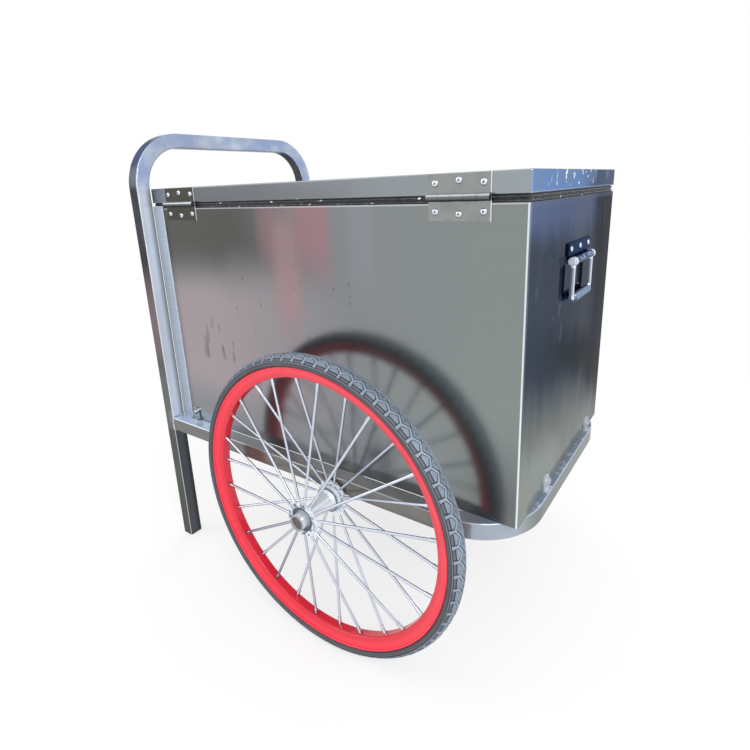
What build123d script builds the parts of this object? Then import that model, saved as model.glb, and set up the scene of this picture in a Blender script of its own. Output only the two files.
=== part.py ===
"""Ice cream push cart: an insulated sheet steel chest on a bent square tube frame with two spoked wheels.

Millimetres. +X points to the front end, away from the push bar, +Y to the far side, +Z up.
The origin is on the floor, under the middle of the cart.
"""

import math
import os

from build123d import *

# Frame tube
tube_size = 30.0
tube_wall = 1.5
tube_corner_radius = 2.5
bend_radius = 100.0
front_tube_step = 10.0
rear_gap = 0.4
bar_rise = 114.5
leg_plate_thickness = 2.5
rear_cross_tube_inset = 60.0

# Chest
box_length = 816.6
box_width = 475.0
box_height = 475.0
box_sheet = 1.2
box_corner_radius = 3.0
front_panel_return = 5.0
rear_panel_flange = 35.0
rear_panel_rise = 5.0
wall_insulation = 40.0
floor_insulation = 45.0
liner_sheet = 1.0
liner_corner_radius = 3.0
top_rim_thickness = 2.0

# Lid and gasket
lid_height = 29.0
lid_sheet = 1.0
lid_edge_radius = 2.0
lid_hem = 14.0
gasket_height = 11.5
gasket_width = 20.0
gasket_inset = 2.0
gasket_corner_radius = 4.0

# Lid hinges
hinge_width = 94.0
hinge_inset = 52.0
hinge_axis_rise = 8.0
hinge_leaf_reach = 31.5
hinge_leaf_sheet = 1.8
hinge_barrel_radius = 5.15
hinge_barrel_gap = 0.2
hinge_pin_radius = 3.0
hinge_knuckles = 5
hinge_knuckle_gap = 0.4
hinge_rivet_pitch = 36.0
hinge_rivet_row = 19.0
hinge_middle_rivet_row = 22.2

# Blind rivets
rivet_head_radius = 5.0
rivet_head_height = 2.4
rivet_head_round = 1.9
rivet_shank_radius = 2.4
rivet_mandrel_radius = 1.6
rivet_mandrel_depth = 1.8

# Lugs that hold the chest on the frame
lug_width = 24.0
lug_height = 30.0
lug_sheet = 3.0
lug_foot = 9.0
side_lug_inset = 51.5
near_front_lug_y = -112.0
far_front_lug_y = 148.0
lug_bolt_height = 18.0
lug_bolt_radius = 3.0
lug_bolt_head_flats = 10.0
lug_bolt_head_height = 4.0
lug_washer_radius = 6.5
lug_washer_thickness = 1.2

# Carry handle on the front end
carry_pivot_drop = 98.5
carry_pivot_standoff = 8.0
carry_plate_width = 130.0
carry_plate_reach = 28.5
carry_plate_sheet = 3.0
carry_tongue_height = 9.0
carry_barrel_length = 100.0
carry_barrel_radius = 6.5
carry_rivet_pitch = 51.0
carry_rivet_row = 19.0
carry_pin_radius = 3.0
carry_pin_head_radius = 4.5
carry_pin_head_thickness = 2.0
carry_end_gap = 0.5
bail_wire_radius = 4.0
bail_eye_radius = 7.0
bail_drop = 60.0
bail_bend_radius = 10.0
grip_radius = 7.0
grip_bore_gap = 0.1

# Wheel, in order from the rim outwards and then the hub from its inner end outwards
rim_flange_radius = 263.5
rim_depth = 21.5
rim_width = 35.0
rim_bed_width = 17.0
rim_wall = 2.2
rim_bead_radius = 2.0
rim_bed_round = 3.0
tyre_rise = 19.0
tyre_width = 41.6
tyre_shoulder_width = 39.0
tyre_shoulder_drop = 9.3
tyre_bulge_rise = 6.1
tyre_seat_gap = 0.4
spoke_count = 28
spoke_radius = 2.4
spoke_head_radius = 3.7
spoke_head_height = 1.8
spoke_circle_radius = 27.0
spoke_start_angle = 7.2
spoke_stagger = 2.0
spoke_thread_inset = 2.0
spoke_bend_slack = 0.4
spoke_hole_gap = 0.1
nipple_radius = 3.2
nipple_length = 15.5
nipple_hole_gap = 0.15
hub_side_gap = 1.5
dust_ring_thickness = 2.0
dust_ring_radius = 20.0
hub_boss_length = 1.0
hub_boss_radius = 22.0
hub_flange_radius = 31.0
hub_flange_sheet = 3.0
hub_flange_spacing = 79.0
hub_step_radius = 23.5
hub_step_length = 12.0
hub_neck_radius = 20.5
hub_neck_length = 6.0
hub_barrel_wide_radius = 17.0
hub_barrel_slim_radius = 10.5
hub_barrel_flare_radius = 25.0
hub_barrel_flare_length = 10.0
hub_dish_radius = 22.0
hub_dish_depth = 2.5
hub_seat_depth = 2.5
hub_bore_radius = 8.0
hub_cup_wall = 2.5
hub_plug_thickness = 1.4
hub_plug_recess = 3.0
bearing_outer_radius = 12.0
bearing_width = 8.0

# Axle
axle_from_rear = 484.1
axle_radius = 7.0
axle_journal_radius = 6.0
axle_end_chamfer = 0.8
axle_nut_flats = 18.0
axle_nut_height = 3.4
saddle_length = 28.0
saddle_web = 0.5

# Clearances
running_fit = 0.05
running_gap = 0.3
seat_gap = 0.05

# Heights that follow from the sizes above
tyre_radius = rim_flange_radius + tyre_rise
axle_z = tyre_radius
frame_bottom = axle_z + axle_radius + saddle_web
frame_top = frame_bottom + tube_size
tube_z = frame_bottom + tube_size / 2
box_top = frame_top + box_height
lid_bottom = box_top + gasket_height
lid_top = lid_bottom + lid_height
bar_z = lid_top + bar_rise - tube_size / 2
hinge_axis_z = box_top + hinge_axis_rise
carry_z = box_top - carry_pivot_drop

# Places along the cart
front_reach = max(front_tube_step, carry_pivot_standoff + max(grip_radius, bail_eye_radius))
overall_length = tube_size + rear_gap + box_length + front_reach
upright_x = -overall_length / 2 + tube_size / 2
upright_front_x = upright_x + tube_size / 2
box_rear_x = upright_front_x + rear_gap
box_front_x = box_rear_x + box_length
box_x = (box_rear_x + box_front_x) / 2
front_tube_x = box_front_x + front_tube_step - tube_size / 2
axle_x = box_rear_x + axle_from_rear
carry_x = box_front_x + carry_pivot_standoff
hinge_places = {
    "front": box_front_x - hinge_inset - hinge_width / 2,
    "rear": box_rear_x + hinge_inset + hinge_width / 2,
}

# Places across the cart
near_face_y = -box_width / 2
side_tube_y = (box_width + tube_size) / 2
hinge_axis_y = near_face_y - hinge_barrel_gap - hinge_barrel_radius
flange_face = hub_flange_spacing / 2 + hub_flange_sheet / 2
outer_seat = flange_face - hub_seat_depth
hub_inner_end = flange_face + hub_boss_length
wheel_y = box_width / 2 + tube_size + hub_side_gap + dust_ring_thickness + hub_inner_end
nut_place = outer_seat + bearing_width + running_gap
axle_end = nut_place + axle_nut_height
plug_place = axle_end + 2 * running_gap
hub_cup_end = plug_place + hub_plug_thickness + hub_plug_recess
wheel_sides = {"near": -1, "far": 1}

os.makedirs("parts", exist_ok=True)


def write_piece(piece, name):
    """Label a finished piece and write it to its own file."""
    piece.label = name
    export_step(piece, f"parts/{name}.step")


def make_rivet(grip):
    """A domed blind rivet. Its head sits on the XY plane and its shank reaches down by the grip."""
    with BuildPart() as rivet:
        with BuildSketch():
            Circle(rivet_head_radius)
        extrude(amount=rivet_head_height)
        fillet(rivet.edges().group_by(Axis.Z)[-1], rivet_head_round)
        with Locations((0, 0, rivet_head_height)):
            Hole(rivet_mandrel_radius, depth=rivet_mandrel_depth)
        with BuildSketch():
            Circle(rivet_shank_radius)
        extrude(amount=-grip)
    return rivet.part


def near_face_plane(x, y, z):
    """A plane whose normal points out of the near side."""
    return Plane(origin=(x, y, z), x_dir=(1, 0, 0), z_dir=(0, -1, 0))


def front_face_plane(x, y, z):
    """A plane whose normal points out of the front end."""
    return Plane(origin=(x, y, z), x_dir=(0, 1, 0), z_dir=(1, 0, 0))


def hinge_rivet_places(x, y, direction):
    """Planes of the three rivets of a hinge leaf. Direction is 1 for the upper leaf, -1 for the lower."""
    rows = (hinge_rivet_row, hinge_middle_rivet_row, hinge_rivet_row)
    return [
        near_face_plane(x + step * hinge_rivet_pitch, y, hinge_axis_z + direction * row)
        for step, row in zip((-1, 0, 1), rows)
    ]


def lug_place(x, y, outward):
    """Plane at the foot of a lug, with Y pointing away from the chest and Z up."""
    return Plane(origin=(x, y, frame_top), x_dir=Vector(outward).cross(Vector(0, 0, 1)), z_dir=(0, 0, 1))


def bolt_place(foot):
    """Plane of the bolt in a lug, on the face of the lug and pointing away from the chest."""
    origin = foot.from_local_coords(Vector(0, lug_sheet, lug_bolt_height))
    return Plane(origin=origin, x_dir=foot.x_dir, z_dir=foot.y_dir)


leaf_face_y = near_face_y - hinge_leaf_sheet
lower_rivet_places = []
upper_rivet_places = []
for x in hinge_places.values():
    lower_rivet_places += hinge_rivet_places(x, leaf_face_y, -1)
    upper_rivet_places += hinge_rivet_places(x, leaf_face_y, 1)
carry_rivet_places = [
    front_face_plane(box_front_x + carry_plate_sheet, step * carry_rivet_pitch, carry_z + carry_rivet_row)
    for step in (-1, 0, 1)
]
near_lug = lug_place(box_rear_x + side_lug_inset, near_face_y, (0, -1, 0))
far_lug = lug_place(box_rear_x + side_lug_inset, -near_face_y, (0, 1, 0))
front_lugs = [lug_place(box_front_x, y, (1, 0, 0)) for y in (near_front_lug_y, far_front_lug_y)]

# Handle hoop, whose ends are the rear legs
with BuildPart() as handle_hoop:
    with BuildLine(Plane.YZ.offset(upright_x)):
        FilletPolyline(
            (-side_tube_y, 0),
            (-side_tube_y, bar_z),
            (side_tube_y, bar_z),
            (side_tube_y, 0),
            radius=bend_radius,
        )
    with BuildSketch(Plane(origin=(upright_x, -side_tube_y, 0))):
        RectangleRounded(tube_size, tube_size, tube_corner_radius)
        RectangleRounded(
            tube_size - 2 * tube_wall,
            tube_size - 2 * tube_wall,
            tube_corner_radius - tube_wall,
            mode=Mode.SUBTRACT,
        )
    sweep()
write_piece(handle_hoop.part, "handle_hoop")

# Plates that close the ends of the legs
with BuildPart() as leg_end_plates:
    with BuildSketch():
        with Locations((upright_x, -side_tube_y), (upright_x, side_tube_y)):
            RectangleRounded(
                tube_size - 2 * tube_wall,
                tube_size - 2 * tube_wall,
                tube_corner_radius - tube_wall,
            )
    extrude(amount=leg_plate_thickness)
write_piece(leg_end_plates.part, "leg_end_plates")

# Base frame, from one upright round the front end to the other
with BuildPart() as base_frame:
    with BuildLine(Plane.XY.offset(tube_z)):
        FilletPolyline(
            (upright_front_x, -side_tube_y),
            (front_tube_x, -side_tube_y),
            (front_tube_x, side_tube_y),
            (upright_front_x, side_tube_y),
            radius=bend_radius,
        )
    with BuildSketch(front_face_plane(upright_front_x, -side_tube_y, tube_z)):
        RectangleRounded(tube_size, tube_size, tube_corner_radius)
        RectangleRounded(
            tube_size - 2 * tube_wall,
            tube_size - 2 * tube_wall,
            tube_corner_radius - tube_wall,
            mode=Mode.SUBTRACT,
        )
    sweep()
write_piece(base_frame.part, "base_frame")

# Cross tubes between the side tubes, under the chest
for name, x in (("rear_cross_tube", box_rear_x + rear_cross_tube_inset), ("middle_cross_tube", axle_x)):
    with BuildPart() as cross_tube:
        with BuildSketch(Plane(origin=(x, 0, tube_z), x_dir=(1, 0, 0), z_dir=(0, 1, 0))):
            RectangleRounded(tube_size, tube_size, tube_corner_radius)
            RectangleRounded(
                tube_size - 2 * tube_wall,
                tube_size - 2 * tube_wall,
                tube_corner_radius - tube_wall,
                mode=Mode.SUBTRACT,
            )
        extrude(amount=box_width / 2, both=True)
    write_piece(cross_tube.part, name)

# Saddles that hold the axle under the side tubes
with BuildPart() as axle_saddles:
    with Locations((axle_x, -side_tube_y, frame_bottom), (axle_x, side_tube_y, frame_bottom)):
        Box(saddle_length, tube_size, axle_radius + saddle_web, align=(Align.CENTER, Align.CENTER, Align.MAX))
    with Locations(Plane(origin=(axle_x, 0, axle_z), x_dir=(1, 0, 0), z_dir=(0, 1, 0))):
        Cylinder(axle_radius + seat_gap, 2 * wheel_y, mode=Mode.SUBTRACT)
write_piece(axle_saddles.part, "axle_saddles")

# Axle: a bar across the cart with a slimmer journal and thread at each end
with BuildPart() as axle:
    with Locations(Plane(origin=(axle_x, 0, axle_z), x_dir=(1, 0, 0), z_dir=(0, 1, 0))):
        Cylinder(axle_radius, 2 * (wheel_y - hub_inner_end - running_gap))
        Cylinder(axle_journal_radius, 2 * (wheel_y + axle_end))
    chamfer(axle.faces().sort_by(Axis.Y)[0].edges(), axle_end_chamfer)
    chamfer(axle.faces().sort_by(Axis.Y)[-1].edges(), axle_end_chamfer)
write_piece(axle.part, "axle")

# Nuts on the ends of the axle, inside the hub cups
with BuildPart() as axle_nuts:
    for side in wheel_sides.values():
        nut_plane = Plane(
            origin=(axle_x, side * (wheel_y + nut_place), axle_z), x_dir=(1, 0, 0), z_dir=(0, side, 0)
        )
        with BuildSketch(nut_plane):
            RegularPolygon(axle_nut_flats / 2, 6, major_radius=False)
            Circle(axle_journal_radius, mode=Mode.SUBTRACT)
        extrude(amount=axle_nut_height - axle_end_chamfer)
write_piece(axle_nuts.part, "axle_nuts")

# Side panels of the chest, from the return of the front end panel to under the flange of the rear one
side_panel_rear_x = box_rear_x + box_corner_radius
side_panel_front_x = box_front_x - front_panel_return
for name, side, lug in (("near_side_panel", -1, near_lug), ("far_side_panel", 1, far_lug)):
    with BuildPart() as side_panel:
        with BuildSketch(Plane.XY.offset(frame_top)):
            with Locations(((side_panel_rear_x + side_panel_front_x) / 2, side * (box_width - box_sheet) / 2)):
                Rectangle(side_panel_front_x - side_panel_rear_x, box_sheet)
        extrude(amount=box_height)
        with Locations(bolt_place(lug)):
            Cylinder(lug_bolt_radius, 4 * lug_sheet, mode=Mode.SUBTRACT)
        if side < 0:
            with Locations(*lower_rivet_places):
                Cylinder(rivet_shank_radius, 4 * hinge_leaf_sheet, mode=Mode.SUBTRACT)
    write_piece(side_panel.part, name)

# End panels, bent round the corners of the chest: the rear one laps over the outside of the side panels
# and stands a little above them
end_panels = {
    "front_end_panel": (box_front_x, front_panel_return, box_width, box_height),
    "rear_end_panel": (
        box_rear_x,
        rear_panel_flange,
        box_width + 2 * box_sheet,
        box_height + rear_panel_rise,
    ),
}
for name, (end_x, panel_return, panel_width, panel_height) in end_panels.items():
    with BuildPart() as end_panel:
        with BuildSketch(Plane.XY.offset(frame_top)):
            with Locations((box_x, 0)):
                RectangleRounded(box_length, panel_width, box_corner_radius)
                RectangleRounded(
                    box_length - 2 * box_sheet,
                    panel_width - 2 * box_sheet,
                    box_corner_radius - box_sheet,
                    mode=Mode.SUBTRACT,
                )
            with Locations((end_x, 0)):
                Rectangle(2 * panel_return, panel_width, mode=Mode.INTERSECT)
        extrude(amount=panel_height)
        if name == "front_end_panel":
            with Locations(*carry_rivet_places):
                Cylinder(rivet_shank_radius, 4 * carry_plate_sheet, mode=Mode.SUBTRACT)
            with Locations(*[bolt_place(lug) for lug in front_lugs]):
                Cylinder(lug_bolt_radius, 4 * lug_sheet, mode=Mode.SUBTRACT)
    write_piece(end_panel.part, name)

# Floor panel of the chest, resting on the frame
with BuildPart() as floor_panel:
    with BuildSketch(Plane.XY.offset(frame_top)):
        with Locations((box_x, 0)):
            RectangleRounded(
                box_length - 2 * box_sheet, box_width - 2 * box_sheet, box_corner_radius - box_sheet
            )
    extrude(amount=box_sheet)
write_piece(floor_panel.part, "floor_panel")

liner_length = box_length - 2 * (box_sheet + wall_insulation)
liner_width = box_width - 2 * (box_sheet + wall_insulation)
liner_bottom = frame_top + box_sheet + floor_insulation
liner_height = box_top - top_rim_thickness - liner_bottom

# Insulation boards between the outer panels and the liner, with the side boards over their full length
board_places = {
    "floor_board": (0, 0, box_length, box_width),
    "near_board": (0, (wall_insulation - box_width) / 2 + box_sheet, box_length, wall_insulation),
    "far_board": (0, (box_width - wall_insulation) / 2 - box_sheet, box_length, wall_insulation),
    "front_board": ((box_length - wall_insulation) / 2 - box_sheet, 0, wall_insulation, liner_width),
    "rear_board": ((wall_insulation - box_length) / 2 + box_sheet, 0, wall_insulation, liner_width),
}
for name, (x, y, board_length, board_width) in board_places.items():
    with BuildPart() as board:
        board_bottom = frame_top + box_sheet if name == "floor_board" else liner_bottom
        with BuildSketch(Plane.XY.offset(board_bottom)):
            with Locations((box_x, 0)):
                RectangleRounded(
                    box_length - 2 * box_sheet, box_width - 2 * box_sheet, box_corner_radius - box_sheet
                )
            with Locations((box_x + x, y)):
                Rectangle(board_length, board_width, mode=Mode.INTERSECT)
        extrude(amount=floor_insulation if name == "floor_board" else liner_height)
    write_piece(board.part, name)

# Inner liner, an open pan
with BuildPart() as inner_liner:
    with BuildSketch(Plane.XY.offset(liner_bottom)):
        with Locations((box_x, 0)):
            RectangleRounded(liner_length, liner_width, liner_corner_radius)
    extrude(amount=liner_height)
    with BuildSketch(Plane.XY.offset(liner_bottom + liner_sheet)):
        with Locations((box_x, 0)):
            RectangleRounded(
                liner_length - 2 * liner_sheet,
                liner_width - 2 * liner_sheet,
                liner_corner_radius - liner_sheet,
            )
    extrude(amount=liner_height - liner_sheet, mode=Mode.SUBTRACT)
write_piece(inner_liner.part, "inner_liner")

# Top rim, which covers the insulation and the edge of the liner
with BuildPart() as top_rim:
    with BuildSketch(Plane.XY.offset(box_top - top_rim_thickness)):
        with Locations((box_x, 0)):
            RectangleRounded(
                box_length - 2 * box_sheet, box_width - 2 * box_sheet, box_corner_radius - box_sheet
            )
            RectangleRounded(
                liner_length - 2 * liner_sheet,
                liner_width - 2 * liner_sheet,
                liner_corner_radius - liner_sheet,
                mode=Mode.SUBTRACT,
            )
    extrude(amount=top_rim_thickness)
write_piece(top_rim.part, "top_rim")

# Lid skin: a pan with its open side down and a hem turned inwards round its edge
with BuildPart() as lid_skin:
    with BuildSketch(Plane.XY.offset(lid_bottom)):
        with Locations((box_x, 0)):
            RectangleRounded(box_length, box_width, box_corner_radius)
    extrude(amount=lid_height)
    fillet(lid_skin.edges().group_by(Axis.Z)[-1], min(lid_edge_radius, 2 * lid_sheet))
    with BuildSketch(Plane.XY.offset(lid_bottom + lid_sheet)):
        with Locations((box_x, 0)):
            RectangleRounded(
                box_length - 2 * lid_sheet, box_width - 2 * lid_sheet, box_corner_radius - lid_sheet
            )
    extrude(amount=lid_height - 2 * lid_sheet, mode=Mode.SUBTRACT)
    with BuildSketch(Plane.XY.offset(lid_bottom)):
        with Locations((box_x, 0)):
            Rectangle(box_length - 2 * lid_hem, box_width - 2 * lid_hem)
    extrude(amount=lid_sheet, mode=Mode.SUBTRACT)
    with Locations(*upper_rivet_places):
        Cylinder(rivet_shank_radius, 4 * hinge_leaf_sheet, mode=Mode.SUBTRACT)
write_piece(lid_skin.part, "lid_skin")

# Foam that fills the lid
with BuildPart() as lid_foam:
    with BuildSketch(Plane.XY.offset(lid_bottom + lid_sheet)):
        with Locations((box_x, 0)):
            RectangleRounded(
                box_length - 2 * lid_sheet, box_width - 2 * lid_sheet, box_corner_radius - lid_sheet
            )
    extrude(amount=lid_height - 2 * lid_sheet)
write_piece(lid_foam.part, "lid_foam")

# Sheet that closes the underside of the lid
with BuildPart() as lid_liner:
    with BuildSketch(Plane.XY.offset(lid_bottom)):
        with Locations((box_x, 0)):
            Rectangle(box_length - 2 * lid_hem, box_width - 2 * lid_hem)
    extrude(amount=lid_sheet)
write_piece(lid_liner.part, "lid_liner")

# Rubber gasket under the lid
with BuildPart() as lid_gasket:
    with BuildSketch(Plane.XY.offset(box_top)):
        with Locations((box_x, 0)):
            RectangleRounded(
                box_length - 2 * gasket_inset, box_width - 2 * gasket_inset, gasket_corner_radius
            )
            Rectangle(
                box_length - 2 * (gasket_inset + gasket_width),
                box_width - 2 * (gasket_inset + gasket_width),
                mode=Mode.SUBTRACT,
            )
    extrude(amount=gasket_height)
write_piece(lid_gasket.part, "lid_gasket")

# Hinge leaves: the lower leaf has the first, third and fifth knuckles, the upper leaf those between
knuckle_pitch = hinge_width / hinge_knuckles
leaf_start = hinge_barrel_radius + hinge_knuckle_gap
for place, hinge_x in hinge_places.items():
    for leaf, direction in (("upper", 1), ("lower", -1)):
        first_knuckle = (direction + 1) // 2
        knuckle_places = [
            hinge_x + (index - (hinge_knuckles - 1) / 2) * knuckle_pitch
            for index in range(first_knuckle, hinge_knuckles, 2)
        ]
        with BuildPart() as hinge_leaf:
            plate_z = hinge_axis_z + direction * (leaf_start + hinge_leaf_reach) / 2
            with Locations((hinge_x, near_face_y - hinge_leaf_sheet / 2, plate_z)):
                Box(hinge_width, hinge_leaf_sheet, hinge_leaf_reach - leaf_start)
            for knuckle_x in knuckle_places:
                neck_z = hinge_axis_z + direction * leaf_start / 2
                with Locations((knuckle_x, near_face_y - hinge_leaf_sheet / 2, neck_z)):
                    Box(knuckle_pitch - hinge_knuckle_gap, hinge_leaf_sheet, leaf_start)
                with Locations(Plane(origin=(knuckle_x, hinge_axis_y, hinge_axis_z), z_dir=(1, 0, 0))):
                    Cylinder(hinge_barrel_radius, knuckle_pitch - hinge_knuckle_gap)
            with Locations(Plane(origin=(hinge_x, hinge_axis_y, hinge_axis_z), z_dir=(1, 0, 0))):
                Cylinder(hinge_pin_radius + running_fit, 2 * hinge_width, mode=Mode.SUBTRACT)
            with Locations(*hinge_rivet_places(hinge_x, near_face_y, direction)):
                Cylinder(rivet_shank_radius, 4 * hinge_leaf_sheet, mode=Mode.SUBTRACT)
        write_piece(hinge_leaf.part, f"{place}_hinge_{leaf}_leaf")

# Hinge pins
with BuildPart() as hinge_pins:
    with Locations(
        *[Plane(origin=(x, hinge_axis_y, hinge_axis_z), z_dir=(1, 0, 0)) for x in hinge_places.values()]
    ):
        Cylinder(hinge_pin_radius, hinge_width)
write_piece(hinge_pins.part, "hinge_pins")

# Rivets of the hinge leaves
upper_rivet = make_rivet(hinge_leaf_sheet + lid_sheet)
with BuildPart() as upper_hinge_rivets:
    with Locations(*upper_rivet_places):
        add(upper_rivet)
write_piece(upper_hinge_rivets.part, "upper_hinge_rivets")

lower_rivet = make_rivet(hinge_leaf_sheet + box_sheet)
with BuildPart() as lower_hinge_rivets:
    with Locations(*lower_rivet_places):
        add(lower_rivet)
write_piece(lower_hinge_rivets.part, "lower_hinge_rivets")

# Lugs: a round topped tab against the chest with a foot on the tube
with BuildPart() as lug:
    with BuildSketch(Plane.XZ):
        with Locations((0, (lug_height - lug_width / 2) / 2)):
            Rectangle(lug_width, lug_height - lug_width / 2)
        with Locations((0, lug_height - lug_width / 2)):
            Circle(lug_width / 2)
        with Locations((0, lug_bolt_height)):
            Circle(lug_bolt_radius, mode=Mode.SUBTRACT)
    extrude(amount=-lug_sheet)
    with Locations((0, lug_foot / 2, lug_sheet / 2)):
        Box(lug_width, lug_foot, lug_sheet)
with BuildPart() as box_lugs:
    with Locations(near_lug, far_lug, *front_lugs):
        add(lug.part)
write_piece(box_lugs.part, "box_lugs")

# Bolts of the lugs, each with its washer
with BuildPart() as lug_bolt:
    with BuildSketch():
        Circle(lug_washer_radius)
    extrude(amount=lug_washer_thickness)
    with BuildSketch(Plane.XY.offset(lug_washer_thickness)):
        RegularPolygon(lug_bolt_head_flats / 2, 6, major_radius=False)
    extrude(amount=lug_bolt_head_height)
    with BuildSketch():
        Circle(lug_bolt_radius)
    extrude(amount=-(lug_sheet + box_sheet))
with BuildPart() as lug_bolts:
    with Locations(*[bolt_place(foot) for foot in (near_lug, far_lug, *front_lugs)]):
        add(lug_bolt.part)
write_piece(lug_bolts.part, "lug_bolts")

# Carry handle plate with its barrel
with BuildPart() as carry_plate:
    with BuildSketch(front_face_plane(box_front_x, 0, carry_z)):
        with Locations((0, (carry_tongue_height + carry_plate_reach) / 2)):
            Rectangle(carry_plate_width, carry_plate_reach - carry_tongue_height)
        with Locations((0, carry_tongue_height / 2)):
            Rectangle(carry_barrel_length, carry_tongue_height)
    extrude(amount=carry_plate_sheet)
    with Locations(Plane(origin=(carry_x, 0, carry_z), x_dir=(1, 0, 0), z_dir=(0, 1, 0))):
        Cylinder(carry_barrel_radius, carry_barrel_length)
        Cylinder(carry_pin_radius, carry_barrel_length, mode=Mode.SUBTRACT)
    with Locations(*carry_rivet_places):
        Cylinder(rivet_shank_radius, 4 * carry_plate_sheet, mode=Mode.SUBTRACT)
write_piece(carry_plate.part, "carry_plate")

# Rivets of the carry handle
carry_rivet = make_rivet(carry_plate_sheet + box_sheet)
with BuildPart() as carry_rivets:
    with Locations(*carry_rivet_places):
        add(carry_rivet)
write_piece(carry_rivets.part, "carry_rivets")

bail_eye_length = 2 * bail_wire_radius
bail_arm_y = carry_barrel_length / 2 + carry_end_gap + bail_eye_length / 2
carry_pin_half = bail_arm_y + bail_eye_length / 2 + carry_end_gap

# Pivot pin of the carry handle, with a head beyond each eye of the bail
with BuildPart() as carry_pin:
    with Locations(Plane(origin=(carry_x, 0, carry_z), x_dir=(1, 0, 0), z_dir=(0, 1, 0))):
        Cylinder(carry_pin_radius, 2 * carry_pin_half)
        with Locations((0, 0, carry_pin_half), (0, 0, -carry_pin_half - carry_pin_head_thickness)):
            Cylinder(
                carry_pin_head_radius,
                carry_pin_head_thickness,
                align=(Align.CENTER, Align.CENTER, Align.MIN),
            )
write_piece(carry_pin.part, "carry_pin")

# Wire bail with an eye at each end
with BuildPart() as carry_bail:
    with BuildLine(Plane.YZ.offset(carry_x)):
        FilletPolyline(
            (-bail_arm_y, carry_z - bail_wire_radius),
            (-bail_arm_y, carry_z - bail_drop),
            (bail_arm_y, carry_z - bail_drop),
            (bail_arm_y, carry_z - bail_wire_radius),
            radius=bail_bend_radius,
        )
    with BuildSketch(Plane(origin=(carry_x, -bail_arm_y, carry_z - bail_wire_radius))):
        Circle(bail_wire_radius)
    sweep()
    with Locations(
        *[Plane(origin=(carry_x, y, carry_z), z_dir=(0, 1, 0)) for y in (-bail_arm_y, bail_arm_y)]
    ):
        Cylinder(bail_eye_radius, bail_eye_length)
        Cylinder(carry_pin_radius + running_fit, 2 * bail_eye_length, mode=Mode.SUBTRACT)
write_piece(carry_bail.part, "carry_bail")

# Grip sleeve on the bail
grip_length = 2 * (bail_arm_y - bail_bend_radius)
with BuildPart() as carry_grip:
    with BuildSketch(Plane(origin=(carry_x, 0, carry_z - bail_drop), x_dir=(1, 0, 0), z_dir=(0, 1, 0))):
        Circle(grip_radius)
        Circle(bail_wire_radius + grip_bore_gap, mode=Mode.SUBTRACT)
    extrude(amount=grip_length / 2, both=True)
write_piece(carry_grip.part, "carry_grip")

# Wheel sections are drawn with X as the radius and Y as the distance outwards from the middle of the tyre
rim_bed_radius = rim_flange_radius - rim_depth
rim_side = rim_width / 2 - rim_bead_radius
rim_slope = (rim_side - rim_bed_width / 2) / rim_depth
rim_side_wall = rim_wall * math.sqrt(1 + rim_slope**2)
rim_well_side = rim_bed_width / 2 + rim_slope * rim_wall - rim_side_wall
rim_well_radius = rim_bed_radius + rim_wall
tyre_foot_radius = rim_well_radius + 2 * tyre_seat_gap
tyre_shoulder_radius = tyre_radius - tyre_shoulder_drop
hub_step_start = hub_flange_spacing / 2 - hub_flange_sheet / 2
hub_neck_start = hub_step_start - hub_step_length
hub_barrel_start = hub_neck_start - hub_neck_length
inner_seat = hub_inner_end - bearing_width
spoke_bend_radius = spoke_radius + spoke_bend_slack
spoke_hub_offset = hub_step_start - spoke_bend_radius
spoke_head_offset = flange_face + seat_gap
spoke_slope = (spoke_hub_offset - spoke_stagger) / (rim_well_radius - spoke_circle_radius)

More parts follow.
